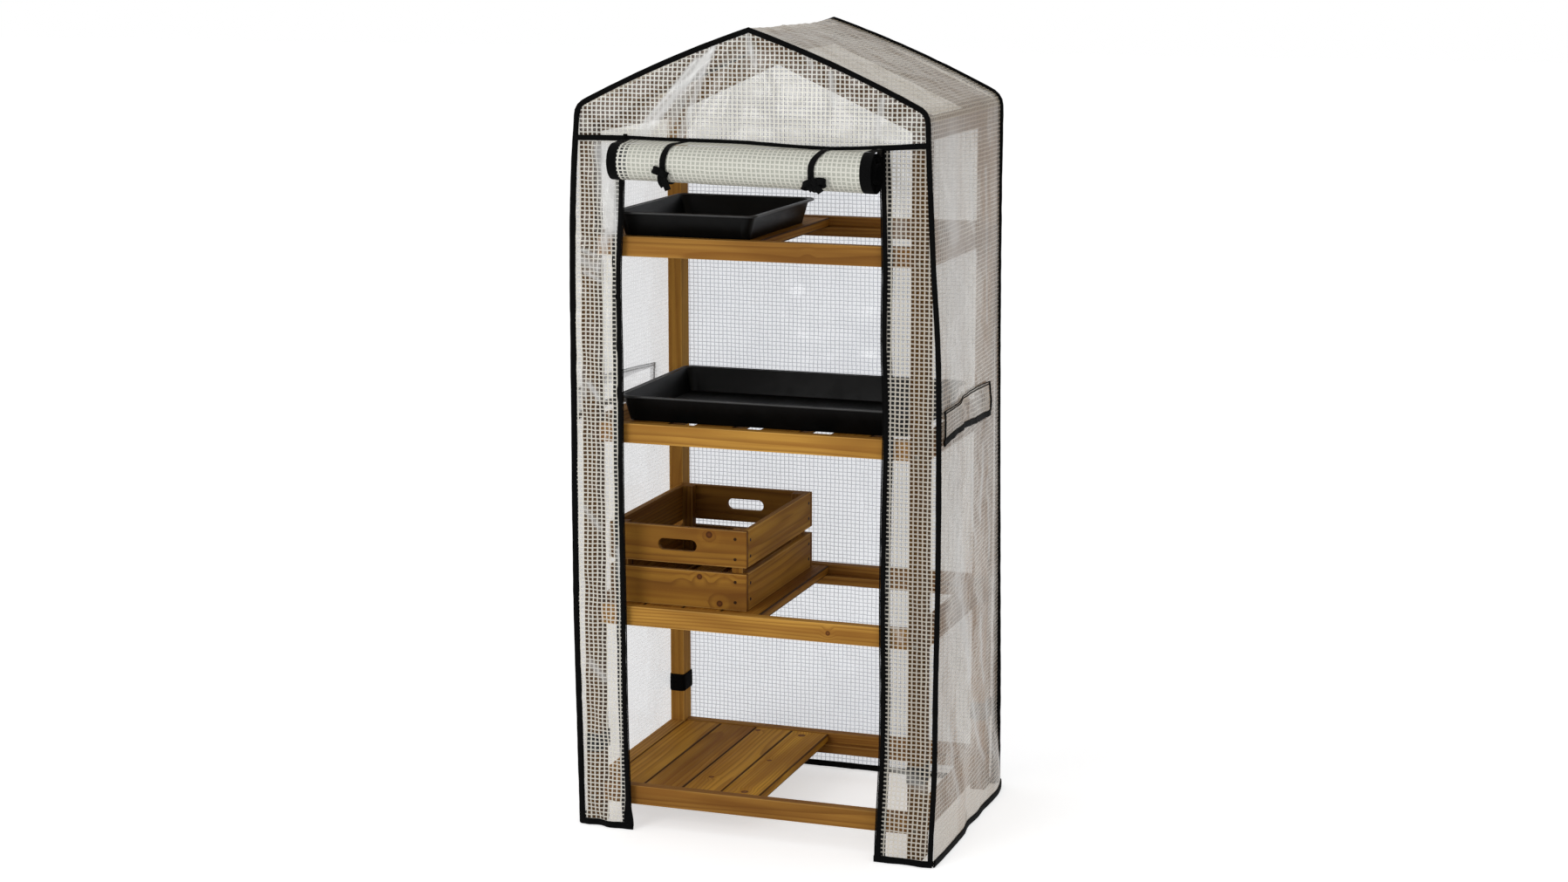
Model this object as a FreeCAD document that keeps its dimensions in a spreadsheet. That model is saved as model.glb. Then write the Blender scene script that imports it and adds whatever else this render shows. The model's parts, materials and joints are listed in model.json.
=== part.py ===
import FreeCAD, Part
import math
import os
import re

# Wooden mini greenhouse: a four-shelf timber frame under a reinforced sheet cover.
# Millimetres. X to the right, Y to the back, Z up. The origin is on the floor, under the
# middle of the whole object with its rolled-up door, so the frame's own middle is middle_back
# behind it. Lengths along Y in the rest of the file are from the frame's own middle.
# Shelves are counted from the floor, 1 to 4.

SHELVES = (1, 2, 3, 4)
SLATS = (1, 2, 3, 4)
SPREAD_SHELF = 3
SPREAD_LEFT = ("spread_first", "spread_second", "spread_third", "spread_fourth")

SIZES = {
    # Frame
    "middle_back": 45.05,
    "frame_half_wide": 344,
    "frame_half_deep": 249,
    "post_wide": 30,
    "post_deep": 42,
    "rail_thick": 22,
    "rail_high": 38,
    "rail_set_back": 8,
    "cleat_deep": 20,
    "cleat_high": 18,
    "shelf_low": 47,
    "shelf_step": 361,
    # Loose slats
    "slat_wide": 79,
    "spread_first": -260,
    "spread_second": -130,
    "spread_third": 5,
    "spread_fourth": 146,
    "slat_thick": 18,
    "slat_clear": 0.7,
    "slat_end_clear": 1.5,
    # Roof timbers: rafter_low is their underside on the centre line
    "roof_rise": 0.46,
    "roof_lap": 60,
    "rafter_low": 1524,
    "rafter_thick": 38,
    "rafter_clip": 1552,
    "ridge_wide": 30,
    "ridge_high": 38,
    "ridge_top": 1552,
    "eave_rail_low": 1364,
    # Frame screws
    "screw_radius": 2,
    "screw_long": 60,
    "head_radius": 4.5,
    "head_high": 2,
    "screw_offset": 9,
    "eave_screw_up": 23,
    # Straps that hold the cover to the posts
    "strap_low": 150,
    "strap_high": 36,
    "strap_thick": 1,
    # Cover
    "cover_half_wide": 348.5,
    "cover_half_deep": 253.5,
    "sheet_thick": 1,
    "hem_low": 3,
    "section_depth": 100,
    "eave_high": 1398,
    "shoulder_radius": 30,
    "shoulder_slope": 27,
    "peak_high": 1564,
    "binding_wide": 9,
    "binding_proud": 1.5,
    "binding_deep": 6.5,
    "header_low": 1352,
    "header_wide": 7,
    "hem_wide": 11,
    "door_half_wide": 255,
    "zip_tape_wide": 14,
    "zip_tape_thick": 5,
    # Zip sliders
    "slider_wide": 9,
    "slider_thick": 4,
    "slider_high": 14,
    "slider_gap": 0.3,
    "slider_below_header": 3,
    "pull_wide": 6,
    "pull_thick": 1,
    "pull_high": 24,
    "pull_drop": 10,
    # Vents in the side sheets
    "vent_front": -235,
    "vent_long": 392,
    "flap_top": 862,
    "flap_high": 57,
    "flap_gap": 0.6,
    "flap_binding": 7,
    "vent_margin": 30,
    "vent_slot_low": 821,
    "vent_slot_high": 32,
    # Rolled-up door
    "roll_left": -267,
    "roll_long": 537,
    "roll_radius": 38,
    "roll_forward": 300.5,
    "roll_centre_high": 1309,
    "roll_pitch": 3.3,
    "roll_half_turns": 18,
    "roll_neck_end": 260.8,
    "tie_left": -133,
    "tie_right": 152,
    "tie_wide": 13,
    "tie_thick": 1.2,
    "tie_gap": 0.3,
    "knot_long": 32,
    "knot_thick": 9,
    "knot_high": 22,
    "knot_centre_high": 1293,
    # Trays
    "tray_wall": 2,
    "tray_taper": 12,
    "tray_lip": 7,
    "tray_corner": 22,
    "load_clear": 0.5,
    "small_tray_left": -288,
    "small_tray_front": -234,
    "small_tray_wide": 291,
    "small_tray_deep": 370,
    "small_tray_high": 47,
    "large_tray_left": -289,
    "large_tray_front": -215,
    "large_tray_wide": 600,
    "large_tray_deep": 380,
    "large_tray_high": 50,
    # Crate
    "crate_left": -311,
    "crate_front": -200,
    "crate_wide": 285,
    "crate_deep": 400,
    "crate_board": 12,
    "crate_board_high": 72,
    "crate_board_gap": 13,
    "crate_post": 22,
    "crate_floor": 8,
    "crate_floor_wide": 54,
    "hand_slot_long": 80,
    "hand_slot_high": 23,
    "crate_screw_inset": 11,
    "crate_screw_edge": 16,
    "crate_screw_stagger": 4,
    "crate_screw_radius": 1.5,
    "crate_screw_long": 28,
    "crate_head_radius": 3,
    "crate_head_high": 0.8,
}

doc = FreeCAD.newDocument("greenhouse")
sizes = doc.addObject("Spreadsheet::Sheet", "sizes")
for row, (alias, number) in enumerate(SIZES.items(), start=1):
    sizes.set("A%d" % row, alias)
    sizes.set("B%d" % row, str(number))
    sizes.setAlias("B%d" % row, alias)
doc.recompute()

node_objects = []


def size(alias):
    """Read one driving dimension from the sheet."""
    return float(sizes.get(alias))


def bound(text):
    """Turn the aliases in an expression into references to the sheet."""
    def reference(word):
        name = word.group()
        return "sizes." + name if name in SIZES else name
    return re.sub(r"[a-z_]+", reference, str(text))


def bind(thing, prop, text):
    """Bind one property of an object to an expression over the sheet."""
    thing.setExpression(prop, bound(text))


def place(thing, corner):
    """Bind an object's position to three expressions, from the frame's middle."""
    along, across, up = corner
    bind(thing, "Placement.Base.x", along)
    bind(thing, "Placement.Base.y", "middle_back + (%s)" % across)
    bind(thing, "Placement.Base.z", up)


def box(name, lengths, corner):
    """A square-cut piece, from its three lengths and its lowest corner."""
    piece = doc.addObject("Part::Box", name)
    for prop, text in zip(("Length", "Width", "Height"), lengths):
        bind(piece, prop, text)
    place(piece, corner)
    return piece


def rod(name, radius, long, start, direction):
    """A cylinder from a start point along a direction."""
    piece = doc.addObject("Part::Cylinder", name)
    turn = FreeCAD.Rotation(FreeCAD.Vector(0, 0, 1), FreeCAD.Vector(*direction))
    piece.Placement = FreeCAD.Placement(FreeCAD.Vector(), turn)
    bind(piece, "Radius", radius)
    bind(piece, "Height", long)
    place(piece, start)
    return piece


def mirrored(name, source, normal):
    """The mirror image of a piece in a plane through the frame's middle."""
    piece = doc.addObject("Part::Mirroring", name)
    piece.Source = source
    piece.Base = FreeCAD.Vector(0, size("middle_back"), 0)
    piece.Normal = FreeCAD.Vector(*normal)
    return piece


def cut(name, base, tool):
    """A piece with a tool's volume taken out of it."""
    piece = doc.addObject("Part::Cut", name)
    piece.Base = base
    piece.Tool = tool
    return piece


def common(name, pieces):
    """The volume that all pieces share."""
    piece = doc.addObject("Part::MultiCommon", name)
    piece.Shapes = pieces
    return piece


def fused(name, pieces):
    """Pieces joined into one solid."""
    piece = doc.addObject("Part::MultiFuse", name)
    piece.Shapes = pieces
    return piece


def group(name, pieces):
    """Separate like solids kept together in one node."""
    piece = doc.addObject("Part::Compound", name)
    piece.Links = pieces
    return piece


def feature(name, shape):
    """A sheet or moulded shape that primitives don't make."""
    piece = doc.addObject("Part::Feature", name)
    piece.Shape = shape
    frame_middle = FreeCAD.Vector(0, size("middle_back"), 0)
    piece.Placement = FreeCAD.Placement(frame_middle, FreeCAD.Rotation())
    return piece


def node(piece, name):
    """Keep a finished piece as one node of the part."""
    piece.Label = name
    node_objects.append(piece)


# Frame timbers

FRAME_INNER_X = "(frame_half_wide - post_wide)"
FRAME_INNER_Y = "(frame_half_deep - post_deep)"
RAIL_INNER_Y = "(frame_half_deep - rail_set_back - rail_thick)"


def shelf_z(shelf):
    """Underside of a shelf's rails."""
    return "(shelf_low + shelf_step * %d)" % (shelf - 1)


def sloped_slab(name, thick, width, front):
    """A slab laid along the right-hand roof slope, its underside on the rafters' underside."""
    slab = doc.addObject("Part::Box", name)
    turn = FreeCAD.Rotation(FreeCAD.Vector(0, 1, 0), math.degrees(math.atan(size("roof_rise"))))
    slab.Placement = FreeCAD.Placement(FreeCAD.Vector(), turn)
    bind(slab, "Length", "frame_half_wide * 2")
    bind(slab, "Width", width)
    bind(slab, "Height", thick)
    bind(slab, "Placement.Rotation.Angle", "atan(roof_rise)")
    place(slab, ("-roof_lap", front, "rafter_low + roof_rise * roof_lap"))
    return slab


def make_posts():
    """Four posts, their tops cut to the slope of the rafters that stand on them."""
    uncut = box(
        "post_block",
        ("post_wide", "post_deep", "rafter_low"),
        (FRAME_INNER_X, "frame_half_deep - post_deep", 0),
    )
    above_slope = sloped_slab("above_slope", "rafter_low", "post_deep * 2", FRAME_INNER_Y)
    back_right = cut("post_back_right", uncut, above_slope)
    front_right = mirrored("post_front_right", back_right, (0, 1, 0))
    back_left = mirrored("post_back_left", back_right, (1, 0, 0))
    front_left = mirrored("post_front_left", front_right, (1, 0, 0))
    for post in (front_left, front_right, back_left, back_right):
        node(post, post.Name)


def make_shelf_frame(shelf):
    """A front rail, a back rail and two side rails between the posts."""
    low = shelf_z(shelf)
    long = "2 * " + FRAME_INNER_X
    front = box(
        "front_rail_%d" % shelf,
        (long, "rail_thick", "rail_high"),
        ("-" + FRAME_INNER_X, "rail_set_back - frame_half_deep", low),
    )
    back = box(
        "back_rail_%d" % shelf,
        (long, "rail_thick", "rail_high"),
        ("-" + FRAME_INNER_X, RAIL_INNER_Y, low),
    )
    right = box(
        "side_rail_right_%d" % shelf,
        ("post_wide", "2 * " + FRAME_INNER_Y, "rail_high"),
        (FRAME_INNER_X, "-" + FRAME_INNER_Y, low),
    )
    left = mirrored("side_rail_left_%d" % shelf, right, (1, 0, 0))
    node(front, front.Name)
    node(back, back.Name)
    node(group("side_rails_%d" % shelf, [left, right]), "side_rails_%d" % shelf)


def make_cleats():
    """Square battens inside the front and back rails, which the slats lie on."""
    cleats = []
    for shelf in SHELVES:
        back = box(
            "cleat_back_%d" % shelf,
            ("2 * " + FRAME_INNER_X, "cleat_deep", "cleat_high"),
            ("-" + FRAME_INNER_X, RAIL_INNER_Y + " - cleat_deep", shelf_z(shelf)),
        )
        cleats += [back, mirrored("cleat_front_%d" % shelf, back, (0, 1, 0))]
    node(group("shelf_cleats", cleats), "shelf_cleats")


def make_roof_timbers():
    """Two pairs of rafters, the ridge rail between them and a rail along each eave."""
    slab = sloped_slab("rafter_slab", "rafter_thick", "post_deep", FRAME_INNER_Y)
    reach = box(
        "rafter_reach",
        ("frame_half_wide", "post_deep * 2", "rafter_clip"),
        (0, FRAME_INNER_Y, 0),
    )
    right = common("back_rafter_right", [slab, reach])
    left = mirrored("back_rafter_left", right, (1, 0, 0))
    back = group("back_rafters", [left, right])
    node(back, "back_rafters")
    node(mirrored("front_rafters", back, (0, 1, 0)), "front_rafters")
    ridge = box(
        "ridge_rail",
        ("ridge_wide", "2 * " + FRAME_INNER_Y, "ridge_high"),
        ("-ridge_wide / 2", "-" + FRAME_INNER_Y, "ridge_top - ridge_high"),
    )
    node(ridge, "ridge_rail")
    eave = box(
        "eave_rail_right",
        ("post_wide", "2 * " + FRAME_INNER_Y, "rail_high"),
        (FRAME_INNER_X, "-" + FRAME_INNER_Y, "eave_rail_low"),
    )
    node(group("eave_rails", [mirrored("eave_rail_left", eave, (1, 0, 0)), eave]), "eave_rails")


def screw(name, head_point, direction):
    """A pan-head wood screw, its head standing on the timber's face at head_point."""
    outward = ["-head_high * %d" % part for part in direction]
    head_top = [point + " + " + away for point, away in zip(head_point, outward)]
    shank = rod(name + "_shank", "screw_radius", "screw_long", head_point, direction)
    head = rod(name + "_head", "head_radius", "head_high", head_top, direction)
    return fused(name, [shank, head])


def make_frame_screws():
    """Screws through the posts into the rails, and through the rafters."""
    post_x = "(frame_half_wide - post_wide / 2)"
    rail_y = "(frame_half_deep - rail_set_back - rail_thick / 2)"
    quarter = []
    for shelf in SHELVES:
        middle = shelf_z(shelf) + " + rail_high / 2"
        into_rail = ("frame_half_wide", rail_y, middle + " + screw_offset")
        into_side = (post_x, "frame_half_deep", middle + " - screw_offset")
        quarter.append(screw("rail_screw_%d" % shelf, into_rail, (-1, 0, 0)))
        quarter.append(screw("side_screw_%d" % shelf, into_side, (0, -1, 0)))
    at_eave = (post_x, "frame_half_deep", "eave_rail_low + eave_screw_up")
    at_ridge = ("ridge_wide / 4", "frame_half_deep", "ridge_top - ridge_high / 2")
    quarter.append(screw("eave_screw", at_eave, (0, -1, 0)))
    quarter.append(screw("ridge_screw", at_ridge, (0, -1, 0)))
    back_right = group("screws_back_right", quarter)
    back_left = mirrored("screws_back_left", back_right, (1, 0, 0))
    back = group("screws_back", [back_left, back_right])
    front = mirrored("screws_front", back, (0, 1, 0))
    node(group("frame_screws", [front, back]), "frame_screws")


def make_straps():
    """Hook-and-loop straps, sewn inside the cover, wrapped round the posts."""
    outer = box(
        "strap_outer",
        ("post_wide + 2 * strap_thick", "post_deep + 2 * strap_thick", "strap_high"),
        (FRAME_INNER_X + " - strap_thick", FRAME_INNER_Y + " - strap_thick", "strap_low"),
    )
    inner = box(
        "strap_inner",
        ("post_wide", "post_deep", "strap_high"),
        (FRAME_INNER_X, FRAME_INNER_Y, "strap_low"),
    )
    back_right = cut("strap_back_right", outer, inner)
    back_left = mirrored("strap_back_left", back_right, (1, 0, 0))
    back = group("straps_back", [back_left, back_right])
    front = mirrored("straps_front", back, (0, 1, 0))
    node(group("post_straps", [front, back]), "post_straps")


def make_slat(shelf, slat):
    """One loose slat: pushed to the left, or in its own place on the spread shelf."""
    if shelf == SPREAD_SHELF:
        left = SPREAD_LEFT[slat - 1]
    else:
        left = "slat_clear - %s + (slat_wide + slat_clear) * %d" % (FRAME_INNER_X, slat - 1)
    piece = box(
        "slat_%d_%d" % (shelf, slat),
        ("slat_wide", "2 * (%s - slat_end_clear)" % RAIL_INNER_Y, "slat_thick"),
        (left, "slat_end_clear - " + RAIL_INNER_Y, shelf_z(shelf) + " + cleat_high"),
    )
    node(piece, piece.Name)


# Cover: every sheet is cut from one house-shaped section in the XZ plane


def point(x, z):
    """A point of the section."""
    return FreeCAD.Vector(x, 0, z)


def roof_edge(side):
    """Shoulder arc and crowned slope from the eave to the peak, on one side."""
    radius = size("shoulder_radius")
    centre_x = size("cover_half_wide") - radius
    slope = math.radians(size("shoulder_slope"))
    eave = size("eave_high")

    def on_shoulder(angle):
        return point(side * (centre_x + radius * math.cos(angle)), eave + radius * math.sin(angle))

    turn = math.pi / 2 - slope
    top = on_shoulder(turn)
    shoulder = Part.Arc(on_shoulder(0), on_shoulder(turn / 2), top)
    peak = point(0, size("peak_high"))
    chord = peak - top
    chord_slope = math.atan2(chord.z, abs(chord.x))
    crown = chord.Length / 2 * math.tan((slope - chord_slope) / 2)
    outward = point(side * math.sin(chord_slope), math.cos(chord_slope))
    crest = Part.Arc(top, (top + peak) * 0.5 + outward * crown, peak)
    return [shoulder.toShape(), crest.toShape()]


def section(inset):
    """The cover's section as a face, inset from the outer surface. It runs on below the floor."""
    half = size("cover_half_wide")
    eave = size("eave_high")
    below = -size("section_depth")
    floor_left = point(-half, below)
    floor_right = point(half, below)
    edges = [Part.makeLine(floor_left, floor_right)]
    edges += [Part.makeLine(floor_right, point(half, eave))]
    edges += roof_edge(1)
    edges += roof_edge(-1)
    edges += [Part.makeLine(point(-half, eave), floor_left)]
    face = Part.Face(Part.Wire(Part.__sortEdges__(edges)))
    if inset == 0:
        return face
    return face.makeOffset2D(-inset, 2)


def slice_of(face, front, back, low, high):
    """The section pushed through from front to back, kept between two heights."""
    solid = face.extrude(FreeCAD.Vector(0, back - front, 0))
    solid.translate(FreeCAD.Vector(0, front, 0))
    reach = 2 * size("cover_half_wide")
    window = Part.makeBox(2 * reach, back - front, high - low, FreeCAD.Vector(-reach, front, low))
    return solid.common(window)


def block(left, right, front, back, low, high):
    """A plain box from its six faces."""
    corner = FreeCAD.Vector(left, front, low)
    return Part.makeBox(right - left, back - front, high - low, corner)


def make_cover():
    """The sheets of the cover and the bindings folded over their edges."""
    thick = size("sheet_thick")
    deep = size("cover_half_deep")
    half = size("cover_half_wide")
    hem = size("hem_low")
    header = size("header_low")
    seam = header + size("header_wide") / 2
    door = size("door_half_wide")
    top = size("peak_high") * 2

    outer = section(0)
    inner = section(thick)
    eave = size("eave_high")
    shell = slice_of(outer, -deep, deep, hem, top).cut(slice_of(inner, -deep, deep, hem, top))
    roof = shell.common(block(-top, top, -deep, deep, eave, top))
    side_sheets = shell.common(block(-top, top, -deep, deep, 0, eave))
    slot_low = size("vent_slot_low")
    slot_front = size("vent_front") + size("vent_margin")
    slot_back = size("vent_front") + size("vent_long") - size("vent_margin")
    slots = block(-top, top, slot_front, slot_back, slot_low, slot_low + size("vent_slot_high"))
    roof_and_sides = Part.makeCompound(roof.Solids + side_sheets.cut(slots).Solids)

    gable = slice_of(inner, -deep, thick - deep, seam, top)
    lower_front = slice_of(inner, -deep, thick - deep, hem, seam)
    strips = lower_front.cut(block(-door, door, -deep, thick - deep, 0, top))
    back_panel = slice_of(inner, deep - thick, deep, hem, top)
    sheets = [roof_and_sides, gable, strips, back_panel]

    rim = section(-size("binding_proud"))
    front = -deep - size("binding_proud") * 2
    behind = front + size("binding_deep")
    ring = slice_of(rim, front, behind, hem, top).cut(
        slice_of(section(size("binding_wide")), front, behind, hem, top)
    )
    header_tape = block(-half, half, front, behind, header, header + size("header_wide"))
    header_tape = header_tape.common(slice_of(inner, front, behind, hem, top))
    hem_top = hem + size("hem_wide")
    back_hem = block(-half, half, front, behind, hem, hem_top)
    strip_hems = back_hem.cut(block(-door, door, front, behind, 0, top))

    def folded(shape):
        for sheet in sheets:
            shape = shape.cut(sheet)
        return shape

    front_binding = folded(ring.fuse([header_tape, strip_hems]).removeSplitter())
    turned = ring.fuse(back_hem).removeSplitter().mirror(
        FreeCAD.Vector(0, 0, 0), FreeCAD.Vector(0, 1, 0)
    )
    back_binding = folded(turned)
    side_hem = block(
        half - thick - size("binding_proud"), half + size("binding_proud"),
        behind, -behind, hem, hem_top,
    )
    side_hem = folded(side_hem)
    other_hem = side_hem.mirror(FreeCAD.Vector(0, 0, 0), FreeCAD.Vector(1, 0, 0))

    node(feature("roof_and_sides", roof_and_sides), "roof_and_sides")
    node(feature("front_gable", gable), "front_gable")
    node(feature("front_strips", strips), "front_strips")
    node(feature("back_panel", back_panel), "back_panel")
    node(feature("front_binding", front_binding), "front_binding")
    node(feature("back_binding", back_binding), "back_binding")
    node(feature("side_hems", Part.makeCompound([other_hem, side_hem])), "side_hems")

    tape_front = -deep - (size("zip_tape_thick") - thick) / 2
    tape_back = tape_front + size("zip_tape_thick")
    tape = block(
        door - size("zip_tape_wide") / 2, door + size("zip_tape_wide") / 2,
        tape_front, tape_back, hem_top, header,
    )
    tape = folded(tape)
    other_tape = tape.mirror(FreeCAD.Vector(0, 0, 0), FreeCAD.Vector(1, 0, 0))
    node(feature("zip_tapes", Part.makeCompound([other_tape, tape])), "zip_tapes")


def make_zip_sliders():
    """A slider with its pull tab at the top of each zip."""
    front = "(-cover_half_deep - (zip_tape_thick - sheet_thick) / 2 - slider_gap)"
    top = "header_low - slider_below_header"
    body = box(
        "slider_body",
        ("slider_wide", "slider_thick", "slider_high"),
        ("door_half_wide - slider_wide / 2", front + " - slider_thick", top + " - slider_high"),
    )
    tab = box(
        "slider_pull",
        ("pull_wide", "pull_thick", "pull_high"),
        (
            "door_half_wide - pull_wide / 2",
            front + " - slider_thick",
            top + " - pull_drop - pull_high",
        ),
    )
    right = fused("zip_slider_right", [body, tab])
    node(right, "zip_slider_right")
    node(mirrored("zip_slider_left", right, (1, 0, 0)), "zip_slider_left")


def make_vent_flaps():
    """A flap of sheet over each vent slot, bound along its ends and its lower edge."""
    gap = size("flap_gap")
    inner = size("cover_half_wide") + gap
    thick = size("sheet_thick")
    front = size("vent_front")
    back = front + size("vent_long")
    high = size("flap_top")
    low = high - size("flap_high")
    edge = size("flap_binding")
    sheet = block(inner + gap, inner + gap + thick, front, back, low, high)
    outer = inner + 2 * gap + thick
    frame = block(inner, outer, front, back, low, high)
    frame = frame.cut(block(inner, outer, front + edge, back - edge, low + edge, high))
    right = Part.makeCompound([sheet, frame.cut(sheet)])
    flap = feature("vent_flap_right", right)
    node(flap, "vent_flap_right")
    node(mirrored("vent_flap_left", flap, (1, 0, 0)), "vent_flap_left")


# Rolled-up door


def roll_wall(shrink):
    """Half-turn arcs of the roll from its outer turn inwards, as edges in the YZ plane."""
    left = size("roll_left")
    centre_y = -size("roll_forward")
    pitch = size("roll_pitch")
    edges = []
    for step in range(int(size("roll_half_turns"))):
        falling = step % 2 == 0
        centre_z = size("roll_centre_high") - (0 if falling else pitch / 2)
        radius = size("roll_radius") - step * pitch / 2 - shrink
        top = FreeCAD.Vector(left, centre_y, centre_z + radius)
        side = FreeCAD.Vector(left, centre_y + (-radius if falling else radius), centre_z)
        bottom = FreeCAD.Vector(left, centre_y, centre_z - radius)
        ends = (top, bottom) if falling else (bottom, top)
        edges.append(Part.Arc(ends[0], side, ends[1]).toShape())
    return edges


def print_least_gap():
    """Measure on points how near the roll's turns come to each other."""
    samples = 24
    outer = roll_wall(0)
    inner = roll_wall(size("sheet_thick"))
    least = size("roll_radius")
    for step in range(len(outer) - 2):
        for spot in outer[step + 2].discretize(samples):
            for other in inner[step].discretize(samples * 8):
                least = min(least, spot.distanceToPoint(other))
    print("door roll: least gap between turns %.2f mm" % least)
    length = sum(edge.Length for edge in outer)
    print("door roll: sheet length wound up %.0f mm" % length)


def make_door_roll():
    """The door sheet wound into a roll that hangs from the header seam by its neck."""
    thick = size("sheet_thick")
    outer = roll_wall(0)
    inner = roll_wall(thick)
    roll_top = outer[0].Vertexes[0].Point
    neck_top = FreeCAD.Vector(roll_top.x, -size("roll_neck_end"), roll_top.z)
    neck_low = neck_top - FreeCAD.Vector(0, 0, thick)
    end_outer = outer[-1].Vertexes[-1].Point
    end_inner = inner[-1].Vertexes[-1].Point
    edges = [Part.makeLine(neck_top, roll_top)] + outer
    edges += [Part.makeLine(end_outer, end_inner)] + inner[::-1]
    edges += [Part.makeLine(inner[0].Vertexes[0].Point, neck_low), Part.makeLine(neck_low, neck_top)]
    face = Part.Face(Part.Wire(Part.__sortEdges__(edges)))
    roll = face.extrude(FreeCAD.Vector(size("roll_long"), 0, 0))
    node(feature("door_roll", roll), "door_roll")
    print_least_gap()


def make_door_ties():
    """Two ribbons round the roll, each knotted at the front."""
    radius = size("roll_radius") + size("tie_gap")
    wide = size("tie_wide")
    ties = []
    for centre_x in (size("tie_left"), size("tie_right")):
        start = FreeCAD.Vector(centre_x - wide / 2, -size("roll_forward"), size("roll_centre_high"))
        along = FreeCAD.Vector(1, 0, 0)
        band = Part.makeCylinder(radius + size("tie_thick"), wide, start, along)
        neck = block(
            start.x, start.x + wide, start.y, -size("roll_neck_end"),
            start.z + radius, start.z + radius + size("tie_thick"),
        )
        hollow = Part.makeCylinder(radius, wide, start, along)
        neck_slit = block(
            start.x, start.x + wide, start.y, start.y + radius,
            start.z + size("roll_radius") - size("sheet_thick") - size("tie_gap"), start.z + radius,
        )
        knot_back = start.y - radius + size("tie_thick")
        knot = block(
            centre_x - size("knot_long") / 2, centre_x + size("knot_long") / 2,
            knot_back - size("knot_thick"), knot_back,
            size("knot_centre_high") - size("knot_high") / 2,
            size("knot_centre_high") + size("knot_high") / 2,
        )
        roll_start = FreeCAD.Vector(centre_x - size("knot_long"), start.y, start.z)
        roll_space = Part.makeCylinder(radius, size("knot_long") * 2, roll_start, along)
        band = band.cut(hollow).cut(neck_slit)
        ties.append(band.fuse([neck, knot.cut(roll_space)]).removeSplitter())
    node(feature("door_ties", Part.makeCompound(ties)), "door_ties")


# Trays


def rounded_rectangle(left, front, wide, deep, corner, z):
    """A closed wire: four sides with a quarter arc at each corner."""
    edges = []
    spots = []
    right = left + wide
    back = front + deep
    diagonal = corner * (1 - math.sqrt(0.5))
    for x, inward_x, y, inward_y in (
        (left, 1, front, 1), (right, -1, front, 1), (right, -1, back, -1), (left, 1, back, -1),
    ):
        on_side = FreeCAD.Vector(x, y + inward_y * corner, z)
        on_end = FreeCAD.Vector(x + inward_x * corner, y, z)
        middle = FreeCAD.Vector(x + inward_x * diagonal, y + inward_y * diagonal, z)
        clockwise = inward_x * inward_y > 0
        first, last = (on_side, on_end) if clockwise else (on_end, on_side)
        edges.append(Part.Arc(first, middle, last).toShape())
        spots.append((first, last))
    for index in range(4):
        edges.append(Part.makeLine(spots[index][1], spots[(index + 1) % 4][0]))
    return Part.Wire(Part.__sortEdges__(edges))


def tub(left, front, wide, deep, high, low, inset):
    """A tapered block with rounded corners: a tray's outside, or its inside when inset."""
    corner = size("tray_corner")
    wires = []
    for z, taper in ((low, size("tray_taper")), (low + high, 0)):
        shift = taper + inset
        wires.append(rounded_rectangle(
            left + shift, front + shift, wide - 2 * shift, deep - 2 * shift,
            corner - inset - taper / 2, z,
        ))
    return Part.makeLoft(wires, True, True)


def make_tray(kind, shelf):
    """A moulded tray: tapered walls, a flat floor and a lip turned out round the rim."""
    left = size(kind + "_tray_left")
    front = size(kind + "_tray_front")
    wide = size(kind + "_tray_wide")
    deep = size(kind + "_tray_deep")
    high = size(kind + "_tray_high")
    wall = size("tray_wall")
    lip = size("tray_lip")
    slat_top = size("shelf_low") + size("shelf_step") * (shelf - 1)
    slat_top += size("cleat_high") + size("slat_thick")
    low = slat_top + size("load_clear")
    body = tub(left + lip, front + lip, wide - 2 * lip, deep - 2 * lip, high, low, 0)
    rim = rounded_rectangle(left, front, wide, deep, size("tray_corner") + lip, low + high - wall)
    plate = Part.Face(rim).extrude(FreeCAD.Vector(0, 0, wall))
    inside = tub(left + lip, front + lip, wide - 2 * lip, deep - 2 * lip, high, low + wall, wall)
    tray = body.fuse(plate).cut(inside).removeSplitter()
    node(feature("tray_" + kind, tray), "tray_" + kind)


# Crate

CRATE_SHELF = 2
CRATE_LOW = "(%s + cleat_high + slat_thick + load_clear)" % shelf_z(CRATE_SHELF)
CRATE_RIGHT = "(crate_left + crate_wide)"
CRATE_BACK = "(crate_front + crate_deep)"
UPPER = "(crate_board_high + crate_board_gap)"


def hand_slot():
    """A slot with round ends through both ends of the crate."""
    middle_x = "(crate_left + crate_wide / 2)"
    middle_z = "(%s + %s + crate_board_high / 2)" % (CRATE_LOW, UPPER)
    half_straight = "(hand_slot_long - hand_slot_high) / 2"
    straight = box(
        "hand_slot_middle",
        ("hand_slot_long - hand_slot_high", "crate_deep", "hand_slot_high"),
        (middle_x + " - " + half_straight, "crate_front", middle_z + " - hand_slot_high / 2"),
    )
    ends = []
    for name, sign in (("left", "-"), ("right", "+")):
        start = ("%s %s %s" % (middle_x, sign, half_straight), "crate_front", middle_z)
        ends.append(rod("hand_slot_" + name, "hand_slot_high / 2", "crate_deep", start, (0, 1, 0)))
    return fused("hand_slot", [straight] + ends)


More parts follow.
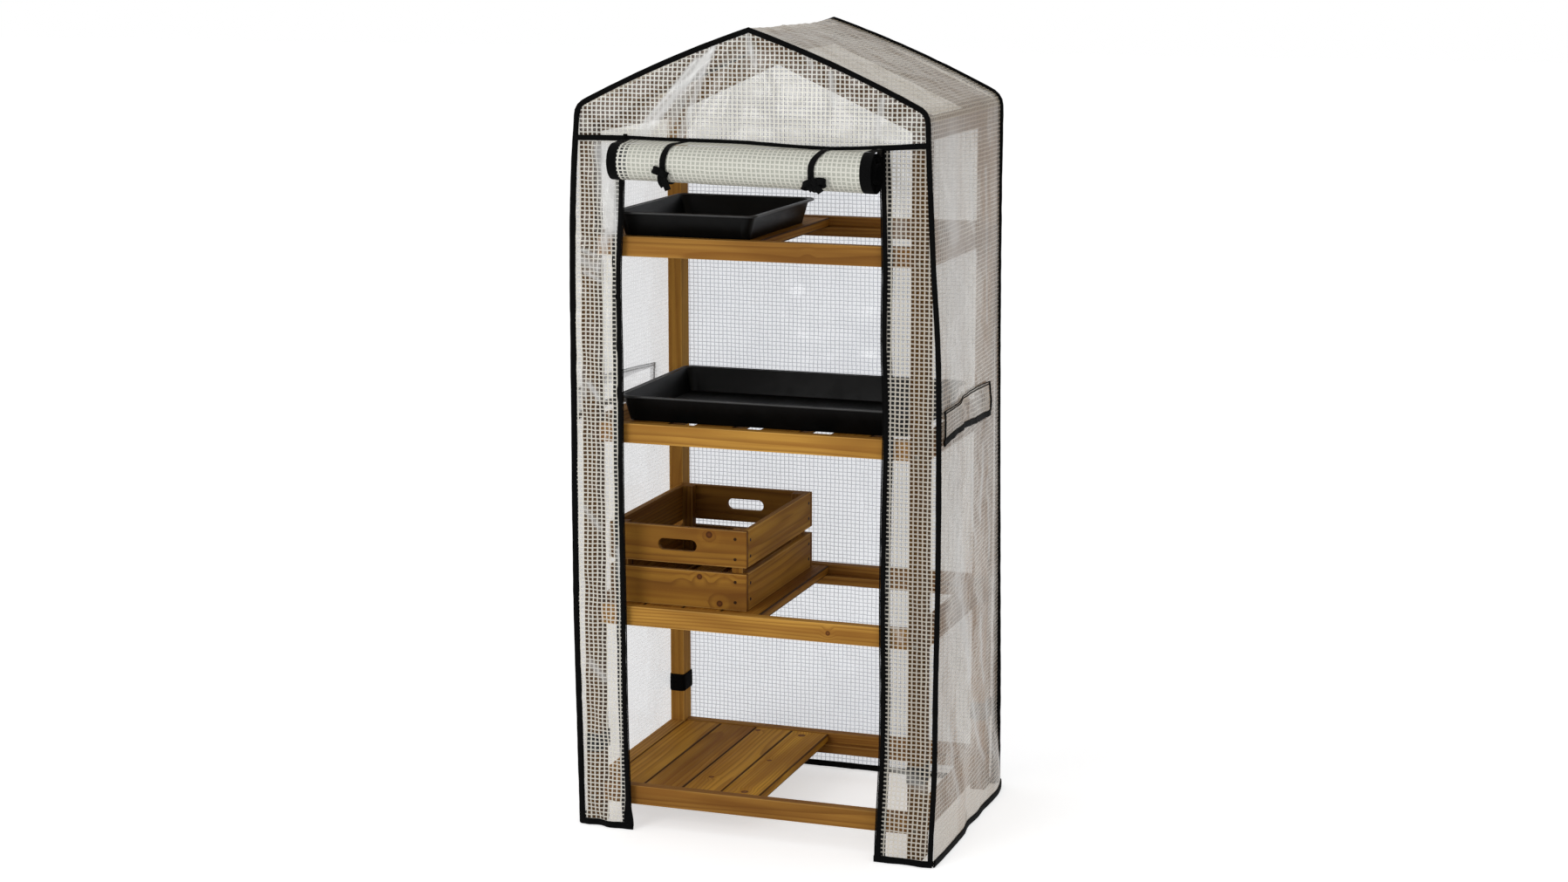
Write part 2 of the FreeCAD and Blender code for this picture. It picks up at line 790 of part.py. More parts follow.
def make_crate_boards():
    """Two boards on each side of the crate, with hand slots in the upper end boards."""
    ends = []
    sides = []
    for level, rise in (("lower", "0"), ("upper", UPPER)):
        low = CRATE_LOW + " + " + rise
        for place_name, y in (("front", "crate_front"), ("back", CRATE_BACK + " - crate_board")):
            ends.append(box(
                "crate_%s_%s" % (place_name, level),
                ("crate_wide", "crate_board", "crate_board_high"),
                ("crate_left", y, low),
            ))
        for place_name, x in (("left", "crate_left"), ("right", CRATE_RIGHT + " - crate_board")):
            sides.append(box(
                "crate_%s_%s" % (place_name, level),
                ("crate_board", "crate_deep - 2 * crate_board", "crate_board_high"),
                (x, "crate_front + crate_board", low),
            ))
    node(cut("crate_end_boards", group("crate_ends_plain", ends), hand_slot()), "crate_end_boards")
    node(group("crate_side_boards", sides), "crate_side_boards")


def make_crate_inside():
    """Corner posts that the boards are screwed to, and a slatted floor under them."""
    high = "(%s + crate_board_high - crate_floor)" % UPPER
    posts = []
    for x in ("crate_left + crate_board", CRATE_RIGHT + " - crate_board - crate_post"):
        for y in ("crate_front + crate_board", CRATE_BACK + " - crate_board - crate_post"):
            posts.append(box(
                "crate_post_%d" % (len(posts) + 1),
                ("crate_post", "crate_post", high),
                (x, y, CRATE_LOW + " + crate_floor"),
            ))
    node(group("crate_corner_posts", posts), "crate_corner_posts")
    clear = "(crate_wide - 2 * crate_board)"
    step = "((%s - crate_floor_wide) / 3)" % clear
    floor = []
    for index in range(4):
        left = "crate_left + crate_board + %s * %d" % (step, index)
        floor.append(box(
            "crate_floor_slat_%d" % (index + 1),
            ("crate_floor_wide", "crate_deep - 2 * crate_board", "crate_floor"),
            (left, "crate_front + crate_board", CRATE_LOW),
        ))
    node(group("crate_floor_slats", floor), "crate_floor_slats")


def crate_screw(name, head_point, direction):
    """A small screw through a board into a corner post."""
    outward = ["-crate_head_high * %d" % part for part in direction]
    head_top = [spot + " + " + away for spot, away in zip(head_point, outward)]
    shank = rod(name + "_shank", "crate_screw_radius", "crate_screw_long", head_point, direction)
    head = rod(name + "_head", "crate_head_radius", "crate_head_high", head_top, direction)
    return fused(name, [shank, head])


def make_crate_screws():
    """Two screws at each end of every board."""
    screws = []
    inset = "(crate_board + crate_screw_inset)"
    edges = (("crate_screw_edge", "+"), ("(crate_board_high - crate_screw_edge)", "-"))
    for board, rise in (("lower", "0"), ("upper", UPPER)):
        for edge, (offset, stagger) in enumerate(edges):
            z = "%s + %s + %s" % (CRATE_LOW, rise, offset)
            side_z = "%s %s crate_screw_stagger" % (z, stagger)
            for x in ("crate_left + " + inset, CRATE_RIGHT + " - " + inset):
                for y, turn in (("crate_front", 1), (CRATE_BACK, -1)):
                    name = "end_screw_%s_%d_%d" % (board, edge, len(screws))
                    screws.append(crate_screw(name, (x, y, z), (0, turn, 0)))
            for y in ("crate_front + " + inset, CRATE_BACK + " - " + inset):
                for x, turn in (("crate_left", 1), (CRATE_RIGHT, -1)):
                    name = "side_screw_%s_%d_%d" % (board, edge, len(screws))
                    screws.append(crate_screw(name, (x, y, side_z), (turn, 0, 0)))
    node(group("crate_screws", screws), "crate_screws")


def check_model():
    """Stop if any object failed, or a node's shape is null or invalid."""
    for thing in doc.Objects:
        if "Invalid" in thing.State or "Error" in thing.State:
            raise RuntimeError("%s failed: %s" % (thing.Name, thing.State))
    for piece in node_objects:
        if piece.Shape.isNull() or not piece.Shape.isValid() or not piece.Shape.Solids:
            raise RuntimeError("%s has no valid shape" % piece.Label)


def export_nodes():
    """Write each node's solids to its own file."""
    os.makedirs("parts", exist_ok=True)
    for piece in node_objects:
        piece.Shape.exportStep("parts/%s.step" % piece.Label)
    whole = FreeCAD.BoundBox()
    for piece in node_objects:
        whole.add(piece.Shape.BoundBox)
    print("%d nodes written, box centre at x %.2f y %.2f" % (
        len(node_objects), whole.Center.x, whole.Center.y,
    ))


make_posts()
for shelf_number in SHELVES:
    make_shelf_frame(shelf_number)
make_cleats()
make_roof_timbers()
make_frame_screws()
make_straps()
for shelf_number in SHELVES:
    for slat_number in SLATS:
        make_slat(shelf_number, slat_number)
make_cover()
make_zip_sliders()
make_vent_flaps()
make_door_roll()
make_door_ties()
make_tray("small", 4)
make_tray("large", SPREAD_SHELF)
make_crate_boards()
make_crate_inside()
make_crate_screws()
doc.recompute()
check_model()
export_nodes()
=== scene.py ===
import bmesh
import bpy
import json
import math
import numpy as np
import zlib
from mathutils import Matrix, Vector


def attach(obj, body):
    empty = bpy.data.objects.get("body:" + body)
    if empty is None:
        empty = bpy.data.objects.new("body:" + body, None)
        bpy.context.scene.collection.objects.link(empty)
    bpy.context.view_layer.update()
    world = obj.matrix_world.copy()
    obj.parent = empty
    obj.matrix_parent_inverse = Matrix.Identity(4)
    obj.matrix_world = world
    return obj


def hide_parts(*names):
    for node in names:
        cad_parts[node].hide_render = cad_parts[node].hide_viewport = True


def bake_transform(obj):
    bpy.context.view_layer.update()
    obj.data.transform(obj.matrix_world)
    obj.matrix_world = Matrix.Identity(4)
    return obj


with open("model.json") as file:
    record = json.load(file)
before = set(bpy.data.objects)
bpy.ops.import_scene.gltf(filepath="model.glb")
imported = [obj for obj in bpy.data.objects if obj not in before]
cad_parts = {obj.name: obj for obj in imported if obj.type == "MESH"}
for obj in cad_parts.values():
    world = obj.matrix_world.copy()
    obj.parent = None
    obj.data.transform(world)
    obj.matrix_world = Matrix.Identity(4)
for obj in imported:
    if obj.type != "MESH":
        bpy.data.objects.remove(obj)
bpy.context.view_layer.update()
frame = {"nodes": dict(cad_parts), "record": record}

# Metres, in the CAD model's own frame. The timber frame's middle is MIDDLE behind the origin.
MIDDLE = 0.04505
HALF_WIDE = 0.3485
HALF_DEEP = 0.2535
FRONT = MIDDLE - HALF_DEEP
REAR = MIDDLE + HALF_DEEP
EAVE = 1.398
PEAK = 1.564
# The roof turns up from each side in a shoulder of this radius, as far as this slope
SHOULDER_RADIUS = 0.030
SHOULDER_SLOPE = math.radians(27)
HEM_LOW = 0.004
HEADER = 1.3555
DOOR_EDGE = 0.255
# The sign of x on each side, as seen from the front
RIGHT, LEFT = 1, -1
ACROSS, DEPTHWISE, UP = (1, 0, 0), (0, 1, 0), (0, 0, 1)
# From thread to thread in the net
PITCH_ACROSS = 0.0091
PITCH_UP = 0.0083


# Curves through a few measured points, and repeatable unevenness

# How many plane waves make up an uneven surface
WAVES = 16


def through(knots, at):
    """A smooth curve through (place, value) knots, held level beyond the ends."""
    places, values = np.array(knots, float).T
    at = np.clip(np.asarray(at, float), places[0], places[-1])
    slopes = np.gradient(values, places)
    index = np.clip(np.searchsorted(places, at, side="right") - 1, 0, len(places) - 2)
    step = places[index + 1] - places[index]
    t = (at - places[index]) / step
    start = (1 + 2 * t) * (1 - t) ** 2 * values[index] + t * (1 - t) ** 2 * step * slopes[index]
    end = t * t * (3 - 2 * t) * values[index + 1] + t * t * (t - 1) * step * slopes[index + 1]
    return start + end


def fade(low, high, at):
    """0 below low, 1 above high, smooth between."""
    t = np.clip((np.asarray(at, float) - low) / (high - low), 0, 1)
    return t * t * (3 - 2 * t)


def uneven(u, v, seed, shortest, longest, slant=None):
    """Smooth unevenness from plane waves, about -1 to 1. A slant keeps the folds near one direction."""
    draw = np.random.default_rng(seed)
    total = np.zeros(np.broadcast(u, v).shape)
    weight = 0
    for _ in range(WAVES):
        length = shortest * (longest / shortest) ** draw.random()
        angle = math.pi * draw.random() if slant is None else slant + 0.35 * draw.normal()
        share = math.sqrt(length / longest)
        phase = math.tau * draw.random()
        total += share * np.sin(math.tau / length * (np.cos(angle) * u + np.sin(angle) * v) + phase)
        weight += share * share
    return total / math.sqrt(2 * weight)


def creases(u, v, seed, shortest, longest, slant=None):
    """Sharp-topped folds, 0 to about 1."""
    return 1 - np.minimum(1, 1.3 * np.abs(uneven(u, v, seed, shortest, longest, slant)))


def streaks(u, v, lines):
    """Soft marks along short lines, each (start u, start v, end u, end v, how wide, how strong)."""
    total = np.zeros(np.broadcast(u, v).shape)
    for start_u, start_v, end_u, end_v, wide, strong in lines:
        du, dv = end_u - start_u, end_v - start_v
        t = np.clip(((u - start_u) * du + (v - start_v) * dv) / (du * du + dv * dv), 0, 1)
        away = np.hypot(u - start_u - t * du, v - start_v - t * dv)
        total = total + strong * np.exp(-(away / wide) ** 2)
    return total


def rim(share, slope):
    """0 where the share is 0 or 1, rising from both ends to 1 inside."""
    return np.clip(np.minimum(share, 1 - share) * slope, 0, 1)


def stacked(*parts):
    """The coordinates of many places, put together place by place."""
    return np.stack(np.broadcast_arrays(*parts), axis=-1)


def crossed(rows, columns):
    """Two grids, of each row's value and of each column's."""
    return np.meshgrid(rows, columns, indexing="ij")


def circle(angles):
    """Points at these angles round a circle of radius 1."""
    return stacked(np.cos(angles), np.sin(angles))


# Meshes


def add_object(name, data):
    """A new object in the scene."""
    obj = bpy.data.objects.new(name, data)
    bpy.context.scene.collection.objects.link(obj)
    return obj


def add_mesh(name, points, faces, materials, flat=None, looks=None):
    """A mesh object from points and faces. Flat is each point's place on the flat cloth, and looks is
    each face's material."""
    mesh = bpy.data.meshes.new(name)
    mesh.from_pydata([tuple(p) for p in points], [], faces)
    if flat is not None:
        corner_points = np.zeros(len(mesh.loops), int)
        mesh.loops.foreach_get("vertex_index", corner_points)
        layer = mesh.uv_layers.new(name="flat")
        layer.data.foreach_set("uv", np.asarray(flat, float)[corner_points].ravel())
    for material in materials if isinstance(materials, list) else [materials]:
        mesh.materials.append(material)
    if looks is not None:
        mesh.polygons.foreach_set("material_index", looks)
    mesh.polygons.foreach_set("use_smooth", [True] * len(mesh.polygons))
    mesh.update()
    return add_object(name, mesh)


def grid_faces(rows, columns, closed=False):
    """Quads over a grid of points given row by row; closed joins the last column to the first."""
    faces = []
    for row in range(rows - 1):
        for column in range(columns if closed else columns - 1):
            after = (column + 1) % columns
            faces.append((
                row * columns + column, row * columns + after,
                (row + 1) * columns + after, (row + 1) * columns + column,
            ))
    return faces


def add_sheet(name, places, flat, materials, skip=None, looks=None, glare=None):
    """A sheet of cloth from grids of points (rows, columns, 3) and flat places (rows, columns, 2).
    Skip says of a flat place whether it is left open, and looks which material it has. Glare is a painted
    highlight: how far the film at each point is whitened and made opaque, 0 to 1."""
    rows, columns = places.shape[:2]
    faces = grid_faces(rows, columns)
    flat = flat.reshape(-1, 2)
    if skip is not None:
        faces = [face for face in faces if not skip(*flat[list(face)].mean(axis=0))]
    if looks is not None:
        looks = [looks(*flat[list(face)].mean(axis=0)) for face in faces]
    sheet = add_mesh(name, places.reshape(-1, 3), faces, materials, flat, looks)
    milky = np.zeros(rows * columns) if glare is None else np.clip(glare, 0, 0.9).ravel()
    sheet.data.attributes.new("glare", "FLOAT", "POINT").data.foreach_set("value", milky)
    return sheet


def unit(vectors):
    """The same directions, one long."""
    return vectors / np.maximum(np.linalg.norm(vectors, axis=-1, keepdims=True), 1e-12)


def tangents(path):
    """Along a line, the direction at each of its points."""
    return unit(np.gradient(path, axis=0))


def lengths(path):
    """The length of a line up to each of its points."""
    return np.concatenate([[0], np.cumsum(np.linalg.norm(np.diff(path, axis=0), axis=1))])


def respaced(path, step):
    """The same line with points about step apart."""
    path = np.asarray(path, float)
    along = lengths(path)
    at = np.linspace(0, along[-1], max(3, int(along[-1] / step) + 1))
    return np.stack([np.interp(at, along, path[:, axis]) for axis in range(path.shape[1])], axis=1)


def smooth_line(knots, step):
    """A smooth line through a few points, with points about step apart."""
    knots = np.asarray(knots, float)
    along = lengths(knots)
    at = np.linspace(0, along[-1], 200)
    columns = [through(list(zip(along, knots[:, axis])), at) for axis in range(knots.shape[1])]
    return respaced(np.stack(columns, axis=1), step)


def squared(turns, half_wide, half_high, power):
    """Points round an ellipse that nears a rectangle as the power nears 0."""
    ways = circle(turns)
    return np.sign(ways) * np.abs(ways) ** power * (half_wide, half_high)


def oval(wide, thick, sides=12, power=0.55):
    """A rounded, flattened profile as (across, out) pairs."""
    return squared(np.arange(sides) / sides * math.tau, wide / 2, thick / 2, power)


def add_band(name, path, across, profile, material, wobble=0.0, seed=0, grow=1.0):
    """A tape or band: a profile pushed along a path, its width laid along the across direction."""
    path = np.asarray(path, float)
    forward = tangents(path)
    across = np.broadcast_to(np.asarray(across, float), path.shape)
    across = unit(across - forward * (across * forward).sum(axis=1, keepdims=True))
    out = np.cross(forward, across)
    along = lengths(path)
    swell = 1 + wobble * uneven(along, 0, seed, 0.02, 0.09)[:, None]
    wide = swell * np.broadcast_to(grow, along.shape)[:, None]
    points = np.stack([path + across * a * wide + out * b * swell for a, b in profile], axis=1)
    rows, columns = points.shape[:2]
    faces = grid_faces(rows, columns, closed=True)
    faces.append(tuple(range(columns))[::-1])
    faces.append(tuple(range((rows - 1) * columns, rows * columns)))
    flat = stacked(lengths(profile)[None, :], along[:, None])
    return add_mesh(name, points.reshape(-1, 3), faces, material, flat.reshape(-1, 2))


def joined(name, objects):
    """Several objects made into one."""
    bpy.ops.object.select_all(action="DESELECT")
    for obj in objects:
        obj.select_set(True)
    bpy.context.view_layer.objects.active = objects[0]
    bpy.ops.object.join()
    objects[0].name = name
    objects[0].data.name = name
    return objects[0]


def settle(piece, body, slot, *nodes):
    """Hangs a piece on the body it rides on and hides the CAD nodes it stands for. The slot is not used."""
    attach(piece, body)
    for node in nodes:
        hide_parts(node)


# Materials


class Graph:
    """The nodes of one material, or of the world."""

    def __init__(self, holder):
        self.holder = holder
        holder.use_nodes = True
        self.tree = holder.node_tree
        self.tree.nodes.clear()

    def feed(self, socket, value):
        """Links a socket into another, or sets its constant; None leaves it as it is."""
        if isinstance(value, bpy.types.NodeSocket):
            self.tree.links.new(value, socket)
        elif value is not None:
            socket.default_value = value

    def node(self, kind, inputs=None, **settings):
        made = self.tree.nodes.new("ShaderNode" + kind)
        for key, value in settings.items():
            setattr(made, key, value)
        for key, value in (inputs or {}).items():
            self.feed(made.inputs[key], value)
        return made

    def math(self, operation, a, b=None, c=None, clamp=False):
        made = self.node("Math", operation=operation, use_clamp=clamp)
        for index, value in enumerate((a, b, c)):
            self.feed(made.inputs[index], value)
        return made.outputs[0]

    def times(self, a, b, clamp=False):
        return self.math("MULTIPLY", a, b, clamp=clamp)

    def plus(self, a, b, clamp=False):
        return self.math("ADD", a, b, clamp=clamp)

    def minus(self, a, b):
        return self.math("SUBTRACT", a, b)

    def greater(self, a, b):
        return self.math("MAXIMUM", a, b)

    def vector(self, operation, a, b=None, scale=None):
        made = self.node("VectorMath", operation=operation)
        self.feed(made.inputs[0], a)
        self.feed(made.inputs[1], b)
        if scale is not None:
            self.feed(made.inputs["Scale"], scale)
        return made.outputs["Value" if operation in ("LENGTH", "DISTANCE") else "Vector"]

    def blend(self, share, a, b):
        """Colour a at a share of 0, colour b at 1."""
        made = self.node("Mix", data_type="RGBA")
        self.feed(made.inputs["Factor"], share)
        self.feed(made.inputs[6], a)
        self.feed(made.inputs[7], b)
        return made.outputs[2]

    def ramp(self, value, low, high, to_low=0.0, to_high=1.0):
        """Eases from to_low, where the value is low, to to_high, where it is high."""
        made = self.node("MapRange", interpolation_type="SMOOTHSTEP")
        for index, number in enumerate((value, low, high, to_low, to_high)):
            self.feed(made.inputs[index], number)
        return made.outputs[0]

    def layer(self, under, shade, value, low, high, most=1.0):
        """The colour under, covered by a shade as the value passes from low to high."""
        return self.blend(self.ramp(value, low, high, 0.0, most), under, shade)

    def noise(self, place, scale, detail=2.0, rough=0.5):
        made = self.node("TexNoise", {"Vector": place, "Scale": scale, "Detail": detail, "Roughness": rough})
        return made.outputs["Fac"]

    def stretched(self, place, scales, detail=2.0, rough=0.5):
        """Noise with a scale of its own along each axis."""
        return self.noise(self.vector("MULTIPLY", place, scales), 1.0, detail, rough)

    def on_cloth(self):
        """The place on the flat cloth."""
        return self.node("UVMap", uv_map="flat").outputs[0]

    def on_object(self):
        return self.node("TexCoord").outputs["Object"]

    def attribute(self, name, output="Fac"):
        return self.node("Attribute", attribute_name=name).outputs[output]

    def axes(self, vector):
        """The X, Y and Z of a vector, by name."""
        return self.node("SeparateXYZ", {"Vector": vector}).outputs

    def bump(self, height, distance, strength=1.0):
        """The surface's direction once it is raised by the height times the distance."""
        made = self.node("Bump", {"Height": height, "Distance": distance, "Strength": strength})
        return made.outputs["Normal"]

    def mixed(self, share, a, b):
        """Shader a at a share of 0, shader b at 1."""
        made = self.node("MixShader")
        for index, value in enumerate((share, a, b)):
            self.feed(made.inputs[index], value)
        return made.outputs[0]

    def finish(self, shader, output="OutputMaterial"):
        """Ends the graph in this shader, and gives back the material or world it makes up."""
        self.node(output, {"Surface": shader})
        return self.holder

    def principled(self, inputs):
        """Ends the graph in one principled shader."""
        return self.finish(self.node("BsdfPrincipled", inputs).outputs[0])


def new_graph(name):
    return Graph(bpy.data.materials.new(name))


def color(red, green, blue):
    """A display colour, 0 to 255, as the linear colour that shaders take."""
    def linear(value):
        value = value / 255
        return value / 12.92 if value <= 0.04045 else ((value + 0.055) / 1.055) ** 2.4
    return (linear(red), linear(green), linear(blue), 1.0)


def net(graph, place, share, level=1.0):
    """Two sets of threads over flat cloth: (where a thread is, how high it stands)."""
    wander = graph.noise(place, 38.0, 1.0)
    wander = graph.times(graph.minus(wander, 0.5), 0.0022)
    parts = graph.axes(place)
    covers = []
    heights = []
    for axis, pitch, weight in (("X", PITCH_ACROSS, 1.0), ("Y", PITCH_UP, level)):
        moved = graph.plus(parts[axis], wander)
        turn = graph.math("FRACT", graph.math("DIVIDE", moved, pitch))
        away = graph.math("ABSOLUTE", graph.minus(turn, 0.5))
        covers.append(graph.ramp(away, share / 2 + 0.035, share / 2 - 0.035, 0.0, weight))
        heights.append(graph.ramp(away, share / 2 + 0.10, 0.0, 0.0, weight))
    return graph.greater(*covers), graph.greater(*heights)


def make_film(name, yarn, clear, share=0.38, thread_cover=0.94, veil=(0.03, 0.12), haze=0.45,
              through=0.3, level=1.0, gloss=0.03, tan=None):
    """Clear sheet over a net: the net hides what is behind it, and a slanting view makes all of it milky.
    Share is how much of the pitch a thread takes up, and level how strong the cross threads are. A
    thread hides thread_cover of what is behind it, the film between hides from one end of veil to the
    other, and haze is what a slanting view adds. Through is how much of the light comes from behind,
    and gloss the share of mirror. Tan is what the yarn's colour wanders to in tall soft patches."""
    graph = new_graph(name)
    place = graph.on_cloth()
    thread, height = net(graph, place, share, level)
    mottle = graph.noise(place, 420.0, 3.0, 0.65)
    cloudy = graph.noise(place, 9.0, 3.0, 0.6)
    facing = graph.node("LayerWeight", {"Blend": 0.5}).outputs["Facing"]
    grazing = graph.math("POWER", facing, 3.0)
    cover = graph.times(thread, thread_cover)
    cover = graph.greater(cover, graph.ramp(cloudy, 0.35, 0.75, *veil))
    # Glare paints highlights: where creases caught the light, the film is made more opaque
    glare = graph.attribute("glare")
    cover = graph.greater(cover, glare)
    cover = graph.plus(cover, graph.times(grazing, haze), clamp=True)
    rough = graph.plus(height, graph.times(mottle, 0.4))
    normal = graph.bump(rough, 0.0005, 0.7)
    tall = graph.stretched(place, (9.0, 3.2, 1.0), 3.0, 0.55)
    tint = graph.layer(yarn, tan or yarn, tall, 0.42, 0.64)
    # Painted highlight: the glare whitens the yarn
    tint = graph.blend(graph.times(glare, 1.8, clamp=True), tint, color(252, 252, 250))
    body = graph.node("BsdfDiffuse", {"Color": tint, "Normal": normal}).outputs[0]
    lit_through = graph.node("BsdfTranslucent", {"Color": tint, "Normal": normal}).outputs[0]
    cloth = graph.mixed(through, body, lit_through)
    open_cell = graph.node("BsdfTransparent", {"Color": clear}).outputs[0]
    sheet = graph.mixed(cover, open_cell, cloth)
    soft_dents = graph.bump(graph.noise(place, 60.0, 2.0), 0.0010, 0.5)
    shine = graph.node("BsdfGlossy", {
        "Color": (1, 1, 1, 1), "Roughness": 0.17, "Normal": soft_dents,
    }).outputs[0]
    mirror = graph.plus(gloss, graph.times(graph.math("POWER", facing, 5.0), 0.45))
    return graph.finish(graph.mixed(mirror, sheet, shine))


def make_roll_film(name, deep_cell, cell_color, milky=0.2):
    """The same sheet in many layers: pale, with the nets below showing through as darker squares."""
    graph = new_graph(name)
    place = graph.on_cloth()
    thread, height = net(graph, place, 0.36)
    below = graph.vector("ADD", place, (0.0041, 0.0037, 0.0))
    second, _ = net(graph, below, 0.40)
    depth = graph.noise(place, 26.0, 2.0)
    cell = graph.blend(second, deep_cell, cell_color)
    cell = graph.blend(graph.times(depth, milky), cell, color(205, 206, 196))
    tint = graph.blend(thread, cell, color(227, 226, 215))
    mottle = graph.noise(place, 420.0, 3.0, 0.65)
    normal = graph.bump(graph.plus(height, graph.times(mottle, 0.4)), 0.0006, 0.8)
    return graph.principled({
        "Base Color": tint, "Roughness": 0.40, "Normal": normal, "Specular IOR Level": 0.35,
    })


def make_tape(name, shade, rib, rough):
    """Black woven tape: fine ribs across it, a faint warp along it, and lint."""
    graph = new_graph(name)
    place = graph.on_cloth()
    parts = graph.axes(place)
    ribs = graph.math("SINE", graph.times(parts["Y"], math.tau / rib))
    warp = graph.math("SINE", graph.times(parts["X"], math.tau / (rib * 1.4)))
    lint = graph.noise(place, 300.0, 3.0, 0.6)
    worn = graph.noise(place, 30.0, 2.0)
    height = graph.plus(graph.times(ribs, 0.5), graph.times(warp, 0.3))
    height = graph.plus(height, graph.times(lint, 1.2))
    tint = graph.layer(shade, color(15, 15, 16), lint, 0.45, 0.8)
    tint = graph.layer(tint, color(12, 12, 13), worn, 0.5, 0.9, 0.5)
    return graph.principled({
        "Base Color": tint, "Roughness": rough, "Normal": graph.bump(height, 0.00025, 0.9),
        "Specular IOR Level": 0.06, "Sheen Weight": 0.01, "Sheen Roughness": 0.5,
    })


def make_pine(name, pale, deep, stain, knots=(), rich=1.0, edge_shade=0.0, edge_wear_and_highlight=0.35, yellow=0.0):
    """Stained softwood. The grain attribute is a place in the log: x along it, rings round its middle.
    The tone attribute is how light each board is drawn, its stain's tone with painted light and shade
    together; lighter boards are yellower. The margin attribute taken from the half attribute is how far a
    place is inside the board's long edges. The edge numbers pale those edges as worn, with a painted
    highlight, and darken them with painted shade where boards meet; rich and yellow move all the colours."""
    graph = new_graph(name)
    grain = graph.attribute("grain", "Vector")
    tone_light_and_shade = graph.attribute("tone_light_and_shade")
    here = graph.on_object()

    knot_spacing = 7.0
    cells = graph.node("TexVoronoi", {"Vector": grain, "Scale": knot_spacing, "Randomness": 1.0})
    away = graph.math("DIVIDE", cells.outputs["Distance"], knot_spacing)
    for middle, radius in knots:
        near = graph.vector("DISTANCE", here, middle)
        near = graph.times(near, 0.0075 / radius)
        away = graph.math("MINIMUM", away, near)
    swirl = graph.ramp(away, 0.030, 0.006)

    slow = graph.vector("MULTIPLY", grain, (1.1, 8.0, 8.0))
    drift = graph.node("TexNoise", {"Vector": slow, "Scale": 1.0, "Detail": 2.0}).outputs["Color"]
    drift = graph.vector("SCALE", graph.vector("SUBTRACT", drift, (0.5, 0.5, 0.5)), scale=0.040)
    across = graph.vector("MULTIPLY", graph.vector("ADD", grain, drift), (0.0, 1.0, 1.0))
    ring = graph.vector("LENGTH", across)
    ring = graph.minus(ring, graph.times(swirl, 0.006))
    wander = graph.stretched(grain, (5.0, 120.0, 120.0))
    ring = graph.plus(ring, graph.times(wander, 0.0012))
    ring_pitch = 0.0066
    turn = graph.math("FRACT", graph.math("DIVIDE", ring, ring_pitch))
    late = graph.times(graph.ramp(turn, 0.35, 0.92), graph.ramp(turn, 1.0, 0.93))

    fibre = graph.stretched(grain, (7.0, 520.0, 520.0), 3.0, 0.6)
    streak = graph.stretched(grain, (2.2, 70.0, 70.0))
    patch = graph.stretched(grain, (3.0, 16.0, 16.0))

    from_middle = graph.vector("ABSOLUTE", graph.attribute("margin", "Vector"))
    inside = graph.axes(graph.vector("SUBTRACT", graph.attribute("half", "Vector"), from_middle))
    inside = graph.greater(inside["X"], inside["Y"])
    inside = graph.plus(inside, graph.times(graph.minus(streak, 0.5), 0.003))

    tint = graph.blend(graph.times(late, 0.55), pale, deep)
    # From the wood itself to its knots, with a dark core and a paler heart, and its long edges: paler as
    # worn and with a painted highlight, and darker with painted shade where boards meet
    for value, low, high, most, shade in (
        (streak, 0.40, 0.70, 0.65, stain), (fibre, 0.52, 0.74, 0.22, deep), (patch, 0.38, 0.72, 0.60, deep),
        (away, 0.013, 0.007, 0.45, stain), (away, 0.0078, 0.0062, 0.92, color(72, 40, 18)),
        (away, 0.0052, 0.0020, 0.50, color(120, 70, 34)),
        (inside, 0.0022, 0.0006, edge_wear_and_highlight, color(196, 152, 86)),
        (inside, 0.0040, 0.0012, edge_shade, color(40, 22, 10)),
    ):
        tint = graph.layer(tint, shade, value, low, high, most)
    hue = graph.math("MULTIPLY_ADD", tone_light_and_shade, 0.012, 0.487 + yellow)
    light = graph.node("HueSaturation", {"Color": tint, "Value": tone_light_and_shade, "Hue": hue, "Saturation": rich})
    height = graph.plus(graph.times(late, 0.5), fibre)
    height = graph.minus(height, graph.times(graph.ramp(away, 0.0078, 0.0062, 0.0, 0.92), 0.4))
    return graph.principled({
        "Base Color": light.outputs[0],
        "Roughness": graph.ramp(fibre, 0.3, 0.8, 0.56, 0.74),
        "Normal": graph.bump(height, 0.0004, 0.55),
        "Specular IOR Level": 0.07,
    })


def make_tray_plastic(name, shade, dusty, specular):
    """Moulded black plastic with a faint texture, handling marks and dust."""
    graph = new_graph(name)
    here = graph.on_object()
    skin = graph.noise(here, 900.0, 2.0)
    marks = graph.stretched(here, (30.0, 5.0, 30.0), 3.0, 0.7)
    dust = graph.noise(here, 14.0, 3.0, 0.6)
    return graph.principled({
        "Base Color": graph.layer(shade, dusty, dust, 0.4, 0.8),
        "Roughness": graph.ramp(marks, 0.35, 0.75, 0.34, 0.46),
        "Normal": graph.bump(skin, 0.0002, 0.35),
        "Specular IOR Level": specular,
    })


def make_metal(name, shade, rough, scratched=color(96, 92, 86)):
    """Plated or painted metal with small scratches."""
    graph = new_graph(name)
    here = graph.on_object()
    scratch = graph.stretched(here, (900.0, 90.0, 300.0))
    return graph.principled({
        "Base Color": graph.blend(scratch, shade, scratched),
        "Metallic": 1.0,
        "Roughness": graph.ramp(scratch, 0.3, 0.7, rough, rough + 0.15),
        "Normal": graph.bump(scratch, 0.0001, 0.4),
    })
